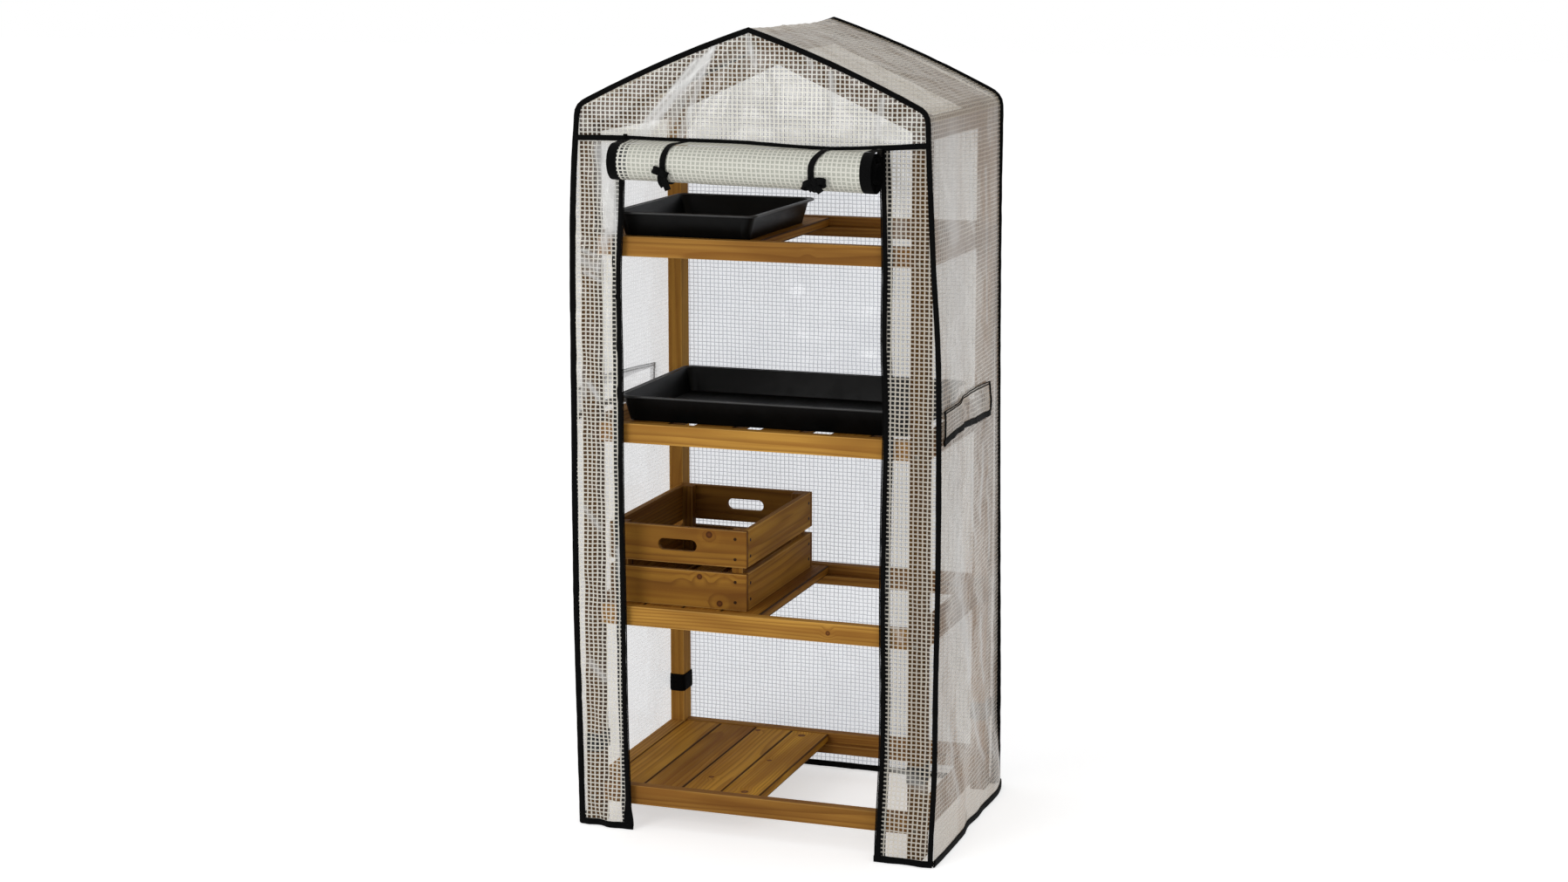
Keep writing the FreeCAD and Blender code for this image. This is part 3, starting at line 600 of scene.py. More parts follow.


# One net film, in copies for the parts of the cover. Their yarn and clear colours differ as painted light
# and shade for how each part is lit: lit gable and left strip, shaded right strip, roof and side, and the
# back's threads greyed against the light.
CREAM = color(253, 250, 240)
left_film = make_film(
    "cover_film_left", color(254, 250, 238), (0.86, 0.85, 0.83, 1.0), share=0.30, thread_cover=0.84,
    veil=(0.0, 0.02), through=0.2, gloss=0.018,
)
right_film = make_film(
    "cover_film_right", color(250, 243, 229), (0.73, 0.72, 0.70, 1.0), share=0.30, thread_cover=0.78,
    veil=(0.0, 0.02), through=0.35, gloss=0.010,
)
side_film = make_film(
    "cover_film_side", color(247, 240, 229), (0.62, 0.595, 0.55, 1.0), share=0.32, thread_cover=0.64,
    haze=0.42, veil=(0.0, 0.08), through=0.4, tan=color(212, 192, 170),
)
roof_film = make_film(
    "cover_film_roof", color(230, 219, 198), (0.55, 0.50, 0.42, 1.0), share=0.34, thread_cover=0.68,
    haze=0.30, veil=(0.0, 0.08), tan=color(204, 188, 164),
)
bright_film = make_film(
    "cover_film_bright", color(243, 244, 245), (0.84, 0.84, 0.845, 1.0), share=0.26, thread_cover=0.50,
    haze=0.3, veil=(0.24, 0.32), through=0.6,
)
rear_film = make_film(
    "cover_film_rear", color(194, 200, 214), (0.755, 0.765, 0.79, 1.0), share=0.175, thread_cover=0.66,
    veil=(0.0, 0.06), haze=0.3,
)
gable_film = make_film(
    "cover_film_gable", CREAM, (0.73, 0.71, 0.67, 1.0), share=0.30, thread_cover=0.82, level=0.90,
    veil=(0.0, 0.02), through=0.12, gloss=0.026,
)
rolled_film = make_roll_film("rolled_film", color(144, 146, 133), color(179, 180, 168))
rolled_film_on_tape = make_roll_film("rolled_film_on_tape", color(6, 6, 7), color(10, 10, 11), 0.01)
rolled_film_near_tape = make_roll_film("rolled_film_near_tape", color(64, 65, 60), color(92, 94, 87), 0.05)
tape = make_tape("black_binding", color(4, 4, 4), 0.0011, 0.78)
ribbon = make_tape("black_ribbon", color(4, 4, 4), 0.0008, 0.66)
hook_strap = make_tape("black_hook_strap", color(6, 6, 6), 0.0016, 0.9)
tray_plastic = make_tray_plastic("tray_black", color(6, 6, 6), color(12, 12, 12), 0.10)
# The lip is drawn lighter than the tray: a painted highlight along the rim, with more gloss
tray_rim_highlight = make_tray_plastic("tray_rim_highlight", color(30, 30, 30), color(42, 42, 42), 0.35)
steel = make_metal("screw_steel", color(120, 112, 98), 0.34)
# The crate's screws are drawn dark brown
dark_brown_steel = make_metal("screw_dark_brown", color(58, 40, 26), 0.5, color(40, 26, 17))
black_metal = make_metal("slider_black", color(22, 22, 23), 0.38)

HONEY, AMBER, RUSSET = color(168, 121, 55), color(108, 66, 26), color(138, 90, 38)


# Timber: each board again, with eased edges and a grain of its own

# How light each board is drawn: partly its stain, taken lighter or darker than the rest, and partly painted
# light and shade for how much light it gets, the timber seen only through the cover darkest
TONE_LIGHT_AND_SHADE = {
    "front_rail_1": 1.07, "front_rail_2": 1.58, "front_rail_3": 1.55, "front_rail_4": 1.10,
    "post_back_left": 1.62, "slat_1_1": 1.56, "slat_1_2": 1.42, "slat_1_3": 1.50, "slat_1_4": 1.86,
    "crate_side_boards": 1.36, "front_rafters": 0.50, "back_rafters": 0.9, "eave_rails": 0.9,
    "post_front_left": 0.38, "post_front_right": 0.44, "post_back_right": 1.1,
    "side_rails_1": 1.3, "side_rails_2": 1.0, "side_rails_3": 1.0, "side_rails_4": 1.0,
}
# Every crate board's face towards the crate's middle is drawn darker: painted shade inside the crate
CRATE_MIDDLE = (-0.1685, 0.045)
CRATE_INSIDE_SHADE = 0.62


def eased_copy(node, offset):
    """The CAD node's mesh with its sharp edges rounded over."""
    bm = bmesh.new()
    bm.from_mesh(frame["nodes"][node].data)
    bmesh.ops.remove_doubles(bm, verts=bm.verts, dist=1e-6)
    bmesh.ops.dissolve_limit(bm, angle_limit=math.radians(1), verts=bm.verts, edges=bm.edges)
    sharp = [edge for edge in bm.edges if edge.is_manifold and edge.calc_face_angle() > math.radians(35)]
    bmesh.ops.bevel(
        bm, geom=sharp, offset=offset, segments=2, profile=0.6, affect="EDGES", clamp_overlap=True,
    )
    return bm


def board_axes(points):
    """The long axis of a board and two axes across it."""
    centred = points - points.mean(axis=0)
    _, directions = np.linalg.eigh(centred.T @ centred)
    long = directions[:, -1]
    helper = np.eye(3)[int(np.argmin(np.abs(long)))]
    side = unit(helper - long * (helper @ long))
    return long, side, np.cross(long, side)


def separate_boards(bm):
    """The indices of each board's points, board by board from the lowest, frontmost and leftmost."""
    boards = []
    seen = set()
    for first in bm.verts:
        if first.index in seen:
            continue
        seen.add(first.index)
        found = [first]
        board = []
        while found:
            vert = found.pop()
            board.append(vert.index)
            for edge in vert.link_edges:
                other = edge.other_vert(vert)
                if other.index not in seen:
                    seen.add(other.index)
                    found.append(other)
        middle = np.mean([bm.verts[index].co for index in sorted(board)], axis=0)
        boards.append((tuple(np.round(middle[::-1], 3)), sorted(board)))
    return [board for _, board in sorted(boards)]


def add_timber(node, body, material, eased, slot):
    """A piece that stands for one wooden node, with every board's grain set from its own place."""
    bm = eased_copy(node, eased)
    bmesh.ops.recalc_face_normals(bm, faces=bm.faces)
    mesh = bpy.data.meshes.new(node + "_timber")
    bm.verts.index_update()
    bm.verts.ensure_lookup_table()
    points = np.array([vert.co for vert in bm.verts])
    grain = np.zeros((len(points), 3))
    margin = np.zeros((len(points), 3))
    half = np.zeros((len(points), 3))
    tone_light_and_shade = np.ones(len(points))
    inside = np.array(CRATE_MIDDLE)
    for board, island in enumerate(separate_boards(bm)):
        draw = np.random.default_rng(zlib.crc32(("%s %d" % (node, board)).encode()))
        mine = points[island]
        long, side, up = board_axes(mine)
        local = (mine - mine.mean(axis=0)) @ stacked(long, side, up)
        turn = draw.random() * math.tau
        heart = 0.03 + 0.06 * draw.random()
        grain[island, 0] = local[:, 0] + 7 * draw.random()
        grain[island, 1] = local[:, 1] + heart * math.cos(turn)
        grain[island, 2] = local[:, 2] + heart * math.sin(turn)
        margin[island, :2] = local[:, 1:]
        half[island, :2] = np.abs(local[:, 1:]).max(axis=0)
        # Each board's tone: painted light and shade from the table, times a random share of its own
        tone_light_and_shade[island] = TONE_LIGHT_AND_SHADE.get(node, 1.0) * (1 + 0.16 * (draw.random() - 0.5))
        # Painted shade: the crate boards' faces towards its middle are darkened
        if node.startswith("crate_"):
            middle = mine[:, :2].mean(axis=0)
            faces_in = (mine[:, :2] - middle) @ (inside - middle) > 0
            tone_light_and_shade[island] *= np.where(faces_in, CRATE_INSIDE_SHADE, 1.0)
    bm.to_mesh(mesh)
    bm.free()
    for name, values in (("grain", grain), ("margin", margin), ("half", half)):
        mesh.attributes.new(name, "FLOAT_VECTOR", "POINT").data.foreach_set("vector", values.ravel())
    mesh.attributes.new("tone_light_and_shade", "FLOAT", "POINT").data.foreach_set("value", tone_light_and_shade)
    mesh.materials.append(material)
    settle(add_object(node + "_timber", mesh), body, slot, node)


# Where the photo shows knots: on the second front rail, the bottom slats and the crate's front
BOARD_KNOTS = (
    ((0.1525, MIDDLE - 0.241, 0.427), 0.0050), ((-0.0302, MIDDLE - 0.2015, 0.083), 0.0080),
    ((-0.0449, MIDDLE + 0.1893, 0.083), 0.0085), ((-0.0515, MIDDLE + 0.0049, 0.083), 0.0055),
    ((-0.1245, MIDDLE - 0.1343, 0.083), 0.0060), ((-0.1436, MIDDLE + 0.1953, 0.083), 0.0060),
)
CRATE_KNOTS = (
    ((-0.1024, MIDDLE - 0.200, 0.5906), 0.0072), ((-0.0813, MIDDLE - 0.200, 0.4556), 0.0066),
    ((-0.1226, MIDDLE - 0.200, 0.506), 0.0060),
)
pine = make_pine("stained_pine", HONEY, AMBER, RUSSET, BOARD_KNOTS)
covered_pine = make_pine("covered_pine", HONEY, AMBER, RUSSET, rich=2.2, yellow=0.009)
# The slats' long edges are darkened with painted shade where they meet, and get no highlight
slat_pine = make_pine("slat_pine", HONEY, AMBER, RUSSET, BOARD_KNOTS, 1.04, edge_shade=0.85, edge_wear_and_highlight=0.0)
# The crate's edges are paler: wear with a painted highlight
crate_pine = make_pine(
    "crate_pine", color(168, 121, 47), color(103, 62, 25), color(138, 90, 33), CRATE_KNOTS, edge_wear_and_highlight=0.55,
)
# Timber that is seen only through the cover
COVERED = (
    "front_rafters", "post_front_left", "post_front_right", "eave_rails", "back_rafters", "ridge_rail",
)
body_of_node = {
    node: body for body, nodes in frame["record"]["behaviour"]["bodies"].items() for node in nodes
}
# How the names of timber begin, and how cloth's names end that begin in the same way
TIMBER = ("post", "slat", "front", "back", "side", "shelf", "ridge", "eave")
CLOTH = ("gable", "strips", "panel", "binding", "hems", "straps")
for node_name, body_name in body_of_node.items():
    if node_name.startswith("crate_") and node_name != "crate_screws":
        add_timber(node_name, body_name, crate_pine, 0.0012, "crate_wood")
    elif node_name.startswith(TIMBER) and not node_name.endswith(CLOTH):
        eased = 0.0026 if node_name.startswith("slat") else 0.0016
        wood = covered_pine if node_name in COVERED else slat_pine if "slat" in node_name else pine
        add_timber(node_name, body_name, wood, eased, "stained_wood")


# The cover's outline


def section_line(step):
    """The right-hand half of the cover's outline from the eave to the peak, as (x, z) points."""
    angles = np.linspace(0, math.pi / 2 - SHOULDER_SLOPE, 10)
    shoulder = (HALF_WIDE - SHOULDER_RADIUS, EAVE) + SHOULDER_RADIUS * circle(angles)
    top = shoulder[-1]
    rise = math.atan2(PEAK - top[1], top[0])
    closing = 2 * (rise - SHOULDER_SLOPE)
    chord = math.hypot(PEAK - top[1], top[0])
    length = chord * (closing / 2) / math.sin(closing / 2)
    t = np.linspace(0, 1, 60)[1:]
    slope = SHOULDER_SLOPE + closing * t
    crest = stacked(
        top[0] - length * (np.sin(slope) - math.sin(SHOULDER_SLOPE)) / closing,
        top[1] - length * (np.cos(slope) - math.cos(SHOULDER_SLOPE)) / closing,
    )
    return respaced(np.concatenate([shoulder, crest]), step)


ROOF_HALF = section_line(0.006)


def outward(line):
    """Square to a line of (x, z) points, out of the cover."""
    return unit(stacked(np.gradient(line[:, 1]), -np.gradient(line[:, 0])))


def roof_height(x):
    """Height of the roof's outline over a place across."""
    line = ROOF_HALF[::-1]
    return np.interp(np.abs(x), line[:, 0], line[:, 1])


# How far each corner of the cover hangs out beyond HALF_WIDE, by height
FRONT_OUT = {
    RIGHT: ((0.0, 0.0245), (0.15, 0.0238), (0.34, 0.0240), (0.51, 0.0262), (0.74, 0.0262),
            (1.02, 0.0205), (1.11, 0.0140), (1.25, 0.0066), (1.36, 0.0012), (1.40, 0.0)),
    LEFT: ((0.0, 0.0062), (0.17, 0.0090), (0.43, 0.0135), (0.60, 0.0140), (0.78, 0.0135),
           (0.95, 0.0130), (1.12, 0.0125), (1.30, 0.0070), (1.40, 0.0)),
}
REAR_OUT = {
    RIGHT: ((0.0, 0.0095), (0.20, 0.0095), (0.55, 0.0065), (0.90, 0.0025), (1.25, 0.0), (1.40, 0.0)),
    LEFT: ((0.0, 0.0050), (0.50, 0.0040), (1.40, 0.0)),
}
# How far each edge of the door is from the middle, by height
DOOR_OUT = {
    RIGHT: ((0.0, 0.2665), (0.14, 0.2655), (0.31, 0.2668), (0.48, 0.2650), (0.65, 0.2660),
            (0.87, 0.2690), (0.98, 0.2650), (1.14, 0.2655), (1.30, 0.2610), (1.36, 0.2585)),
    LEFT: ((0.0, 0.2505), (0.09, 0.2550), (0.23, 0.2590), (0.44, 0.2606), (0.68, 0.2630),
           (0.92, 0.2622), (1.12, 0.2630), (1.22, 0.2575), (1.36, 0.2530)),
}
# How far the header tape dips under HEADER, by place across
HEADER_DIP = ((-0.345, 0.0010), (-0.24, 0.0), (-0.19, 0.0012), (-0.10, 0.0022), (-0.015, 0.0031),
              (0.07, 0.0072), (0.155, 0.0100), (0.24, 0.0066), (0.29, 0.0030), (0.345, -0.0010))


def depth_share(y):
    """0 at the front sheet, 1 at the back one."""
    return (y - FRONT) / (REAR - FRONT)


def front_out(z, side):
    """How far a side's front corner hangs out beyond HALF_WIDE."""
    return through(FRONT_OUT[side], z)


def rear_out(z, side):
    """How far a side's rear corner hangs out beyond HALF_WIDE."""
    return through(REAR_OUT[side], z)


def door_edge(z, side):
    """How far a side's edge of the door is from the middle."""
    return through(DOOR_OUT[side], z)


def header_height(x):
    """Height of the header tape's middle."""
    return HEADER - through(HEADER_DIP, x)


# A side sheet stands no further out, and a front or back sheet folds no deeper inward, than this
SIDE_LIMIT = 0.3782
FOLD_LIMIT = -0.0025
# How far the right side's foot stands out from the middle, by depth
RIGHT_FOOT = ((-0.285, 0.3755), (-0.213, 0.3780), (-0.157, 0.3795), (-0.086, 0.3795), (-0.027, 0.3725),
              (0.038, 0.3765), (0.070, 0.3745), (0.183, 0.3780), (0.247, 0.3680), (0.254, 0.3660))


def forward_kick(x, z, side):
    """How far the foot of a front strip kicks forward: on the left only near the door."""
    if side == LEFT:
        near_door = 1 - fade(0.0, 0.085, np.abs(x) - DOOR_EDGE)
        return 0.005 * near_door * (1 - fade(0.0, 0.15, z)) ** 1.5
    return 0.0270 * (1 - fade(0.0, 0.24, z)) ** 1.4


def side_face(y, z, side):
    """How far a side sheet hangs out from the middle."""
    t = depth_share(y)
    level = np.clip(t, 0, 1)
    out = front_out(z, side) * (1 - fade(0, 1, level)) + rear_out(z, side) * fade(0, 1, level)
    inside = rim(t, 9) * (1 - fade(EAVE - 0.05, EAVE, z))
    loose = 0.30 + 0.70 * np.clip(out / 0.02, 0, 1)
    seed = 11 if side == RIGHT else 12
    broad = 0.0030 * uneven(y, z, seed, 0.10, 0.45)
    sharp = 0.0024 * (creases(y, z, seed + 20, 0.05, 0.28, 1.1) - 0.5)
    fine = 0.0007 * uneven(y, z, seed + 40, 0.02, 0.05)
    face = HALF_WIDE + out + inside * ((broad + sharp + fine) * loose + 0.0008)
    foot = 1 - fade(0.0, 0.17, z)
    if side == RIGHT:
        bag = np.exp(-((y - MIDDLE + 0.02) / 0.13) ** 2 - ((z - 0.36) / 0.24) ** 2)
        face = face + 0.0050 * bag
        face = face * (1 - foot) + (through(RIGHT_FOOT, y - MIDDLE) + 0.2 * (face - HALF_WIDE - out)) * foot
    else:
        face = face + foot * inside * 0.0045 * (1 + uneven(y, 0, seed + 60, 0.06, 0.2))
    return np.clip(face, HALF_WIDE - 0.0012, SIDE_LIMIT)


# Painted highlights on the right side, streaks that whiten the film and make it more opaque, by depth and
# height
SIDE_GLARE = (
    (-0.07, 1.34, -0.06, 0.96, 0.085, 0.40), (-0.10, 0.74, -0.06, 0.46, 0.055, 0.38),
    (0.06, 1.30, 0.10, 1.12, 0.014, 0.30), (0.18, 1.28, 0.20, 0.98, 0.010, 0.35),
    (0.04, 0.72, 0.08, 0.56, 0.012, 0.40), (0.16, 0.74, 0.13, 0.60, 0.012, 0.45),
    (0.20, 0.66, 0.22, 0.50, 0.008, 0.40), (-0.03, 0.42, 0.03, 0.30, 0.020, 0.40),
    (0.11, 0.40, 0.17, 0.26, 0.012, 0.40), (0.06, 0.24, 0.16, 0.10, 0.012, 0.40),
    (-0.12, 0.24, -0.06, 0.08, 0.012, 0.40), (0.20, 0.20, 0.24, 0.08, 0.008, 0.40),
)


def side_sheet(name, side, film):
    """The cover's side, from the hem to the eave, with the vent's slot left open."""
    slot_low, slot_high = 0.821, 0.853
    slot_front, slot_back = MIDDLE - 0.205, MIDDLE + 0.127
    depth = np.unique(np.concatenate([
        np.linspace(FRONT, slot_front, 9), np.linspace(slot_front, slot_back, 56),
        np.linspace(slot_back, REAR, 22),
    ]))
    height = np.unique(np.concatenate([
        np.linspace(HEM_LOW, slot_low, 137), np.linspace(slot_low, slot_high, 6),
        np.linspace(slot_high, EAVE, 92),
    ]))
    z, y = crossed(height, depth)
    flat = stacked(y - FRONT, z)
    t = depth_share(y)
    y = y - forward_kick(HALF_WIDE, z, side) * (1 - fade(0.0, 0.35, t)) * (side == RIGHT)
    places = stacked(side * side_face(y, z, side), y, z)

    def in_slot(u, v):
        return slot_front < u + FRONT < slot_back and slot_low < v < slot_high

    # Painted highlights on the right side only
    glare = streaks(y, z, SIDE_GLARE) * (side == RIGHT)
    return add_sheet(name, places, flat, film, skip=in_slot, glare=glare)


def roof_sheet():
    """The roof with both its shoulders, in one sheet."""
    line = np.concatenate([ROOF_HALF, ROOF_HALF[::-1][1:] * (-1, 1)])
    along = lengths(line)
    normal = outward(line)
    depth = np.linspace(FRONT, REAR, 84)
    s, y = crossed(along, depth)
    t = depth_share(y)
    free = rim(t, 8)
    ends = fade(0.0, 0.05, s) * fade(0.0, 0.05, along[-1] - s)
    sag = -0.0035 * np.sin(math.pi * t) * ends * (0.6 + 0.4 * uneven(s, y, 77, 0.15, 0.5))
    ripple = 0.0010 * uneven(s, y, 31, 0.03, 0.12) + 0.0014 * (creases(s, y, 32, 0.06, 0.25, 0.2) - 0.5)
    lift = free * ends * (sag + ripple)
    x = line[:, None, 0] + normal[:, None, 0] * lift
    z = line[:, None, 1] + normal[:, None, 1] * lift
    places = stacked(x, y, z)
    flat = stacked(y - FRONT, EAVE + s)
    return add_sheet("cover_roof", places, flat, roof_film)


def gable_folds(x, z):
    """Creases that fan down from the peak, and short upright ones under the right-hand slope.
    A fanned crease has an angle from straight down, a width and a height; an upright one has a place
    across, a low end and a high end."""
    down = PEAK - z
    angle = np.arctan2(x, np.maximum(down, 1e-4))
    reach = np.hypot(x, down)
    depth = fade(0.02, 0.10, reach) * (1 - 0.55 * fade(0.18, 0.34, reach))
    folds = 0.0
    for place, wide, tall in ((-1.02, 0.07, 0.0034), (-0.80, 0.08, 0.0044), (-0.56, 0.06, -0.0030),
                              (-0.30, 0.07, 0.0026), (-0.05, 0.06, -0.0018), (0.35, 0.09, 0.0020)):
        folds = folds + tall * np.exp(-((angle - place) / wide) ** 2)
    folds = folds * depth
    for place, low, high in ((0.152, 1.41, 1.51), (0.242, 1.37, 1.47)):
        upright = np.exp(-((x - place - 0.04 * (z - low)) / 0.007) ** 2)
        folds = folds + 0.0022 * upright * fade(low - 0.03, low + 0.02, z) * (1 - fade(high, high + 0.03, z))
    return folds


def fan(first, last, count, wide, strong, seed):
    """Streaks that spread from the first line to the last, uneven in strength."""
    draw = np.random.default_rng(seed)
    lines = []
    for share in np.linspace(0, 1, count):
        ends = [a + (b - a) * share + 0.006 * draw.normal() for a, b in zip(first, last)]
        lines.append((*ends, wide * (0.6 + 0.8 * draw.random()), strong * (0.5 + 0.8 * draw.random())))
    return lines


# Painted highlights along the film's creases, whitening it and making it more opaque, across and up: start,
# end, how wide, how strong
GABLE_GLARE = (
    (-0.003, 1.555, 0.011, 1.496, 0.005, 0.50), (0.160, 1.484, 0.165, 1.424, 0.005, 0.55),
    (0.257, 1.437, 0.250, 1.372, 0.006, 0.50), (0.113, 1.515, 0.123, 1.496, 0.005, 0.50),
    *fan((-0.105, 1.500, -0.235, 1.359), (-0.058, 1.530, -0.140, 1.359), 9, 0.0045, 0.40, 7),
    *fan((-0.030, 1.520, -0.100, 1.370), (0.030, 1.520, 0.040, 1.370), 6, 0.006, 0.16, 8),
)
# Painted highlights on the front strips, listed the same way; on the left the same lines also raise the
# creases
STRIP_GLARE = {
    LEFT: (
        (-0.342, 1.122, -0.306, 1.106, 0.011, 0.45), (-0.340, 1.142, -0.312, 1.131, 0.004, 0.50),
        (-0.334, 1.098, -0.300, 1.083, 0.004, 0.50), (-0.296, 1.121, -0.286, 1.162, 0.006, 0.40),
        (-0.292, 1.330, -0.272, 1.190, 0.018, 0.75), (-0.326, 0.882, -0.308, 0.856, 0.006, 0.55),
        (-0.279, 1.183, -0.298, 1.153, 0.009, 0.45), (-0.345, 0.905, -0.335, 0.860, 0.005, 0.40),
        (-0.340, 0.640, -0.310, 0.600, 0.006, 0.40), (-0.330, 0.330, -0.300, 0.300, 0.008, 0.40),
        (-0.270, 0.560, -0.262, 0.500, 0.006, 0.45),
    ),
    RIGHT: (
        (0.290, 0.180, 0.345, 0.150, 0.012, 0.30), (0.285, 0.470, 0.300, 0.430, 0.006, 0.35),
        (0.300, 1.300, 0.290, 1.180, 0.012, 0.18),
    ),
}


def gable_sheet():
    """The front above the door, from the header tape to the roof's outline."""
    across = np.linspace(-HALF_WIDE, HALF_WIDE, 175)
    share = np.linspace(0, 1, 50)
    v, x = crossed(share, across)
    low = header_height(x)
    high = np.minimum(roof_height(x), PEAK)
    high = np.where(np.abs(x) > HALF_WIDE - 1e-4, EAVE, high)
    z = low + v * (high - low)
    free = rim(v, 7) * np.clip((HALF_WIDE - np.abs(x)) * 40, 0, 1)
    out = gable_folds(x, z) + 0.0010 * uneven(x, z, 51, 0.03, 0.12) + 0.0016 * uneven(x, z, 52, 0.15, 0.4)
    places = stacked(x, FRONT - free * np.maximum(out, FOLD_LIMIT), z)
    glare = streaks(x, z, GABLE_GLARE)
    return add_sheet("cover_gable", places, stacked(x, z), gable_film, glare=glare)


def strip_face(x, z, side):
    """Where the front strip's sheet lies, front to back."""
    inner = door_edge(z, side)
    outer = HALF_WIDE + front_out(z, side)
    t = (np.abs(x) - inner) / (outer - inner)
    free = rim(t, 5) * fade(0.0, 0.03, header_height(x) - z)
    seed = 61 if side == RIGHT else 62
    rough = 1.0 if side == RIGHT else 2.6
    out = 0.0011 * uneven(x, z, seed, 0.03, 0.10, 0.25)
    out = rough * (out + 0.0016 * (creases(x, z, seed + 5, 0.05, 0.22, 0.5) - 0.4))
    out += 0.0016 * uneven(x, z, seed + 9, 0.15, 0.5)
    if side == LEFT:
        out = out + 0.0030 * streaks(x, z, STRIP_GLARE[LEFT])
    return FRONT - forward_kick(x, z, side) - free * np.maximum(out, FOLD_LIMIT)


def strip_sheet(name, side, film):
    """The front beside the door, from the hem to the header."""
    height = np.linspace(HEM_LOW, 1.0, 330)
    share = np.linspace(0, 1, 28)
    v, t = crossed(height, share)
    inner_x = door_edge(v * HEADER, side) + 0.002
    outer_x = HALF_WIDE + front_out(v * HEADER, side)
    x = side * (inner_x + t * (outer_x - inner_x))
    top = header_height(x)
    z = HEM_LOW + (v - HEM_LOW) / (1 - HEM_LOW) * (top - HEM_LOW)
    places = stacked(x, strip_face(x, z, side), z)
    return add_sheet(name, places, stacked(x, z), film, glare=streaks(x, z, STRIP_GLARE[side]))


def back_sheet():
    """The whole back, from the hem to the roof's outline."""
    share = np.linspace(0, 1, 234)
    across = np.linspace(-1, 1, 118)
    v, q = crossed(share, across)
    z_guess = HEM_LOW + v * (EAVE - HEM_LOW)
    x = q * np.where(q < 0, HALF_WIDE + rear_out(z_guess, LEFT), HALF_WIDE + rear_out(z_guess, RIGHT))
    high = np.where(np.abs(q) > 0.9999, EAVE, roof_height(np.clip(x, -HALF_WIDE, HALF_WIDE)))
    z = HEM_LOW + v * (high - HEM_LOW)
    x = q * np.where(q < 0, HALF_WIDE + rear_out(z, LEFT), HALF_WIDE + rear_out(z, RIGHT))
    free = np.clip((1 - np.abs(q)) * 12, 0, 1) * np.clip((1 - v) * 12, 0, 1)
    out = 0.0028 * uneven(x, z, 81, 0.15, 0.6) + 0.0010 * uneven(x, z, 82, 0.04, 0.12)
    out += 0.0016 * (creases(x, z, 83, 0.07, 0.3, 0.3) - 0.4)
    places = stacked(x, REAR + free * np.maximum(out, FOLD_LIMIT), z)
    return add_sheet("cover_back", places, stacked(x, z), rear_film)


side_right = side_sheet("cover_side_right", RIGHT, side_film)
side_left = side_sheet("cover_side_left", LEFT, bright_film)
roof = roof_sheet()
gable = gable_sheet()
strip_left = strip_sheet("cover_strip_left", LEFT, left_film)
strip_right = strip_sheet("cover_strip_right", RIGHT, right_film)
back = back_sheet()
for piece in (roof, side_right, side_left):
    settle(piece, "frame", "cover_sheet", "roof_and_sides")
for piece in (strip_left, strip_right):
    settle(piece, "frame", "cover_sheet", "front_strips")
settle(gable, "frame", "cover_sheet", "front_gable")
settle(back, "frame", "cover_sheet", "back_panel")


# Bindings, hems and header


def corner_line(plane, out_of, kick, inset):
    """The cover's edge round the front or the back, from the right foot over the peak to the left."""
    height = np.arange(0.004, EAVE, 0.012)
    right = stacked(HALF_WIDE + out_of(height, RIGHT) - inset, height)
    left = stacked(-HALF_WIDE - out_of(height, LEFT) + inset, height)
    over = ROOF_HALF - outward(ROOF_HALF) * inset
    over = over[over[:, 0] > 0.002]
    line = np.concatenate([right, over[1:], [[0.0, PEAK - inset]], (over[1:] * (-1, 1))[::-1], left[::-1]])
    line = respaced(line, 0.010)
    depth = np.where(line[:, 0] > 0, plane - kick * forward_kick(HALF_WIDE, line[:, 1], RIGHT), plane)
    return stacked(line[:, 0], depth, line[:, 1])


def inward(line):
    """In the plane of a gable, the direction square to a line."""
    forward = tangents(line)
    return stacked(-forward[:, 2], 0, forward[:, 0])


front_line = corner_line(FRONT - 0.0006, front_out, 1, 0.0032)
back_line = corner_line(REAR + 0.0006, rear_out, 0, 0.0018)
# The binding is broader where it was folded loosely: down the left front, and at the right rear foot
front_grow = np.where(front_line[:, 0] < 0, 1 + 0.18 * (1 - fade(1.30, 1.40, front_line[:, 2])), 1.0)
REAR_GROW = ((0.0, 1.75), (0.15, 1.6), (0.40, 1.25), (0.90, 1.0), (1.25, 1.2), (1.40, 1.3), (1.56, 1.1))
back_grow = np.where(back_line[:, 0] > 0, through(REAR_GROW, back_line[:, 2]), 1.0)
front_edge = add_band(
    "binding_front", front_line, inward(front_line), oval(0.0104, 0.0058), tape, 0.05, 1, front_grow,
)
back_edge = add_band(
    "binding_back", back_line, inward(back_line), oval(0.0112, 0.0082), tape, 0.05, 2, back_grow,
)

header_x = np.linspace(-HALF_WIDE, HALF_WIDE, 90)
header_line = stacked(header_x, FRONT - 0.0022, header_height(header_x))
header = add_band("header_tape", header_line, UP, oval(0.0104, 0.0050), tape, 0.05, 3)


def strip_hem(side):
    """The bound foot of a front strip."""
    share = np.linspace(0, 1, 24)
    inner = door_edge(0.0, side) - 0.008
    outer = HALF_WIDE + front_out(0.0, side)
    x = side * (inner + share * (outer - inner))
    z = np.full_like(x, 0.0070)
    y = strip_face(x, z, side) - 0.0004
    line = stacked(x, y, z)
    return add_band("strip_hem", line, UP, oval(0.0130, 0.0058), tape, 0.05, 4)


def side_hem(side):
    """The bound foot of a side sheet, standing in loose waves on the floor."""
    depth = np.linspace(FRONT - (0.025 if side == RIGHT else 0), REAR, 70)
    x = side * (side_face(depth, np.full_like(depth, 0.007), side) + 0.0004)
    z = 0.0072 + 0.0006 * uneven(depth, 0, 70, 0.08, 0.2)
    line = stacked(x, depth, z)
    return add_band("side_hem", line, UP, oval(0.0128, 0.0048), tape, 0.05, 5)


